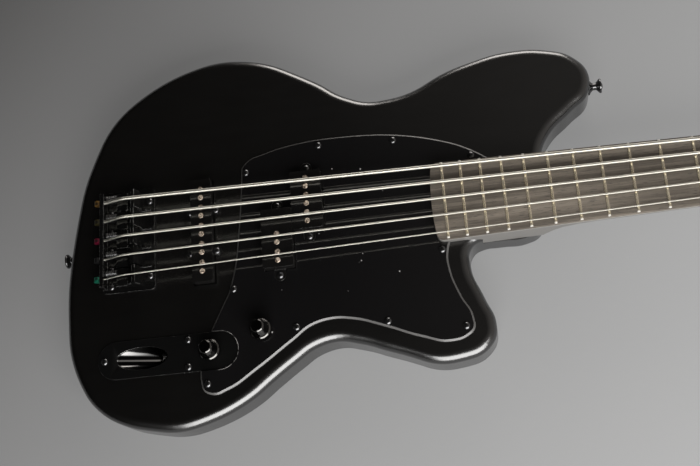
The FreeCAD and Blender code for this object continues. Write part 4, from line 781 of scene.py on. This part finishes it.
for number, radius, (post_x, post_y) in zip(string_numbers, string_radii, posts):
    row = 3 - number
    side = 1 if post_y > 0 else -1
    turn_radius = post_radius + radius
    nut_point = over_board(nut_place, row, radius)
    reach = Vector((post_x - nut_point.x, post_y - nut_point.y))
    aim = math.atan2(reach.y, reach.x) - side * math.asin(turn_radius / reach.length)
    start_angle = aim - side * math.pi / 2
    foot = bushing_top + radius
    rise = 2 * radius + turn_gap
    winding = []
    for k in range(winding_steps + 1):
        angle = start_angle + side * 2 * math.pi * k / steps_in_turn
        winding.append(Vector((post_x + turn_radius * math.cos(angle), post_y + turn_radius * math.sin(angle),
                               foot + rise * k / steps_in_turn)))
    tail_y = over_board(tail_place, row, radius).y
    route = [Vector((ball_place, tail_y, ball_height)), Vector((wall_hole, tail_y, ball_height)),
             over_board(saddle_crest, row, radius), nut_point, winding[0]]
    string = bent_wire(f"string_{number}", bent(route) + winding, radius, 12, wound_nickel)
    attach(string, "instrument")
    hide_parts("strings")

# Tuners: closed gear housings under the headstock, a bushing and post through it, and a key at the side.
# All are black plated; the keys are polished and the posts are slotted for the string's end.
for number in string_numbers:
    eased(f"tuner_post_{number}", 0.0003, black_steel, body=f"tuner_post_{number}")
    eased(f"tuner_key_{number}", 0.0006, knob_black, body=f"tuner_key_{number}")
eased("tuner_housings", 0.0006, black_steel)
eased("tuner_bushings", 0.0004, black_steel)
housing_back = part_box("tuner_housings")[0].z
screws("tuner_gear_screws", [(x, y, housing_back) for x, y in posts], 0.0026, seed=21, facing=DOWNWARDS)

# Strap buttons: a turned button on a felt washer at the tail and on the long horn, held by a wood screw each.
# The buttons are black plated, the washers pressed wool.
eased("strap_buttons", 0.0005, black_steel)
low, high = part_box("strap_buttons")
sunk = 0.0002
button_height = 0.021
screws("tail_button_screw", [(low.x + sunk, -0.0051, button_height)], 0.0032, seed=5, facing=TO_THE_TAIL)
screws("horn_button_screw", [(high.x - sunk, 0.1026, button_height)], 0.0032, seed=6, facing=TO_THE_HEAD)
felt, at = finish("pressed_black_felt")
fuzz = at.noise(1500, 6, 0.75)
at.paint(relief=fuzz, depth=0.0005, Base_Color=fuzz.mix((0.010, 0.010, 0.011, 1), (0.040, 0.040, 0.042, 1)),
         Roughness=0.95)
apply_finish(felt, "strap_felts")

# Floor: a plain grey painted surface under the instrument. It glows a little by itself, a painted pool of light
# that is lighter towards the neck and the treble side and darker towards the tail and the bass side, so that the
# shadow on it stays soft; far off it is an even pale grey.
# From below it is open, so that the back can be seen.
floor_paint, at = finish("pale_grey_floor")
mottle = at.noise(3, 4)
lit = at.coat(relief=at.noise(90, 3), depth=0.0006, strength=0.25,
              Base_Color=mottle.mix((0.195, 0.195, 0.195, 1), (0.215, 0.215, 0.215, 1)), Roughness=0.75)
# Painted light: the floor's glow grows lighter towards the neck and the treble side.
painted_light_slope = 0.22 + at.part("X") * 0.50 - at.part("Y") * 0.44
shade = painted_light_slope.mix((0.04, 0.04, 0.04, 1), (0.98, 0.98, 0.98, 1))
away = at.stretched(0.75, 1, 0).distance((0.34, 0, 0)).step(0.54, 1.10)
glow = at.node("ShaderNodeEmission", None, {"Color": away.mix(shade, (0.43, 0.43, 0.43, 1))})
seen = sum((at.node("ShaderNodeLightPath", None, None, kind)
            for kind in ("Is Camera Ray", "Is Glossy Ray", "Is Transmission Ray")), 0)
painted = at.node("ShaderNodeMixShader", None, {0: seen * (0.6 + away * 0.4), 1: lit, 2: glow})
under = at.node("ShaderNodeNewGeometry", None, None, "Backfacing")
clear = at.node("ShaderNodeBsdfTransparent")
floor_surface = at.node("ShaderNodeMixShader", None, {0: under, 1: painted, 2: clear})
floor_surface.node("ShaderNodeOutputMaterial", None, {0: floor_surface})
floor_level = solid_box[0].z - 0.001
floor_reach = 40
floor_mesh = bpy.data.meshes.new("floor")
floor_mesh.from_pydata([(x * floor_reach, y * floor_reach, floor_level)
                        for x, y in ((-1, -1), (1, -1), (1, 1), (-1, 1))], [], [(0, 1, 2, 3)])
floor_mesh.materials.append(floor_paint)
floor = placed("floor", floor_mesh)


# Light: two soft lamps, a large one on the treble side and a low one on the bass side, both towards the neck.
# The black faces mirror the dim room overhead, and the round edges mirror the lamps.
def soft_lamp(name, place, aim, width, height, watts, colour):
    lamp = bpy.data.lights.new(name, "AREA")
    lamp.shape = "RECTANGLE"
    lamp.size = width
    lamp.size_y = height
    lamp.energy = watts
    lamp.color = colour
    holder = placed(name, lamp)
    holder.location = place
    holder.rotation_euler = (Vector(aim) - Vector(place)).to_track_quat("-Z", "Y").to_euler()


soft_lamp("treble_side_lamp", (0.67, -1.41, 0.87), (0.34, -0.05, 0.02), 1.9, 1.44, 69, (1.0, 0.99, 0.98))
soft_lamp("bass_side_lamp", (0.52, 1.54, 0.50), (0.38, 0.10, 0.04), 0.84, 0.8, 12.3, (1.0, 0.95, 0.90))
room = bpy.data.worlds.new("dim_room")
room.use_nodes = True
way = Wire(room.node_tree).node("ShaderNodeTexCoord", None, None, "Generated")
towards = way.node("ShaderNodeVectorMath", {"operation": "DOT_PRODUCT"}, {0: way, 1: (1.0, 0.0, 0.0)}, "Value")
brightness = towards.node("ShaderNodeMapRange", None, {0: towards, 1: -0.15, 2: 1.0, 3: 0.007, 4: 0.43})
background = room.node_tree.nodes["Background"]
room.node_tree.links.new(brightness.socket, background.inputs["Strength"])
background.inputs["Color"].default_value = (1.0, 0.94, 0.88, 1)
bpy.context.scene.world = room
bpy.context.scene.view_settings.view_transform = "Standard"

# Camera: above the treble side, looking down at the body, with the neck running out of the picture.
# The picture is 700 by 466, and the lens is given in its pixels.
picture_width = 700
lens_in_pixels = 1076.63
eye = Vector((0.305956, -0.317887, 0.929354))
ahead = Vector((-0.1265, 0.3192, -0.9392)).normalized()
rightward = Vector((0.9853, -0.0694, -0.1563)).normalized()
up = rightward.cross(ahead)
view = bpy.data.cameras.new("camera")
view.sensor_width = 36
view.lens = view.sensor_width * lens_in_pixels / picture_width
view.clip_start = 0.01
camera = placed("camera", view)
camera.matrix_world = Matrix.Translation(eye) @ Matrix((rightward, up, -ahead)).transposed().to_4x4()
bpy.context.scene.camera = camera
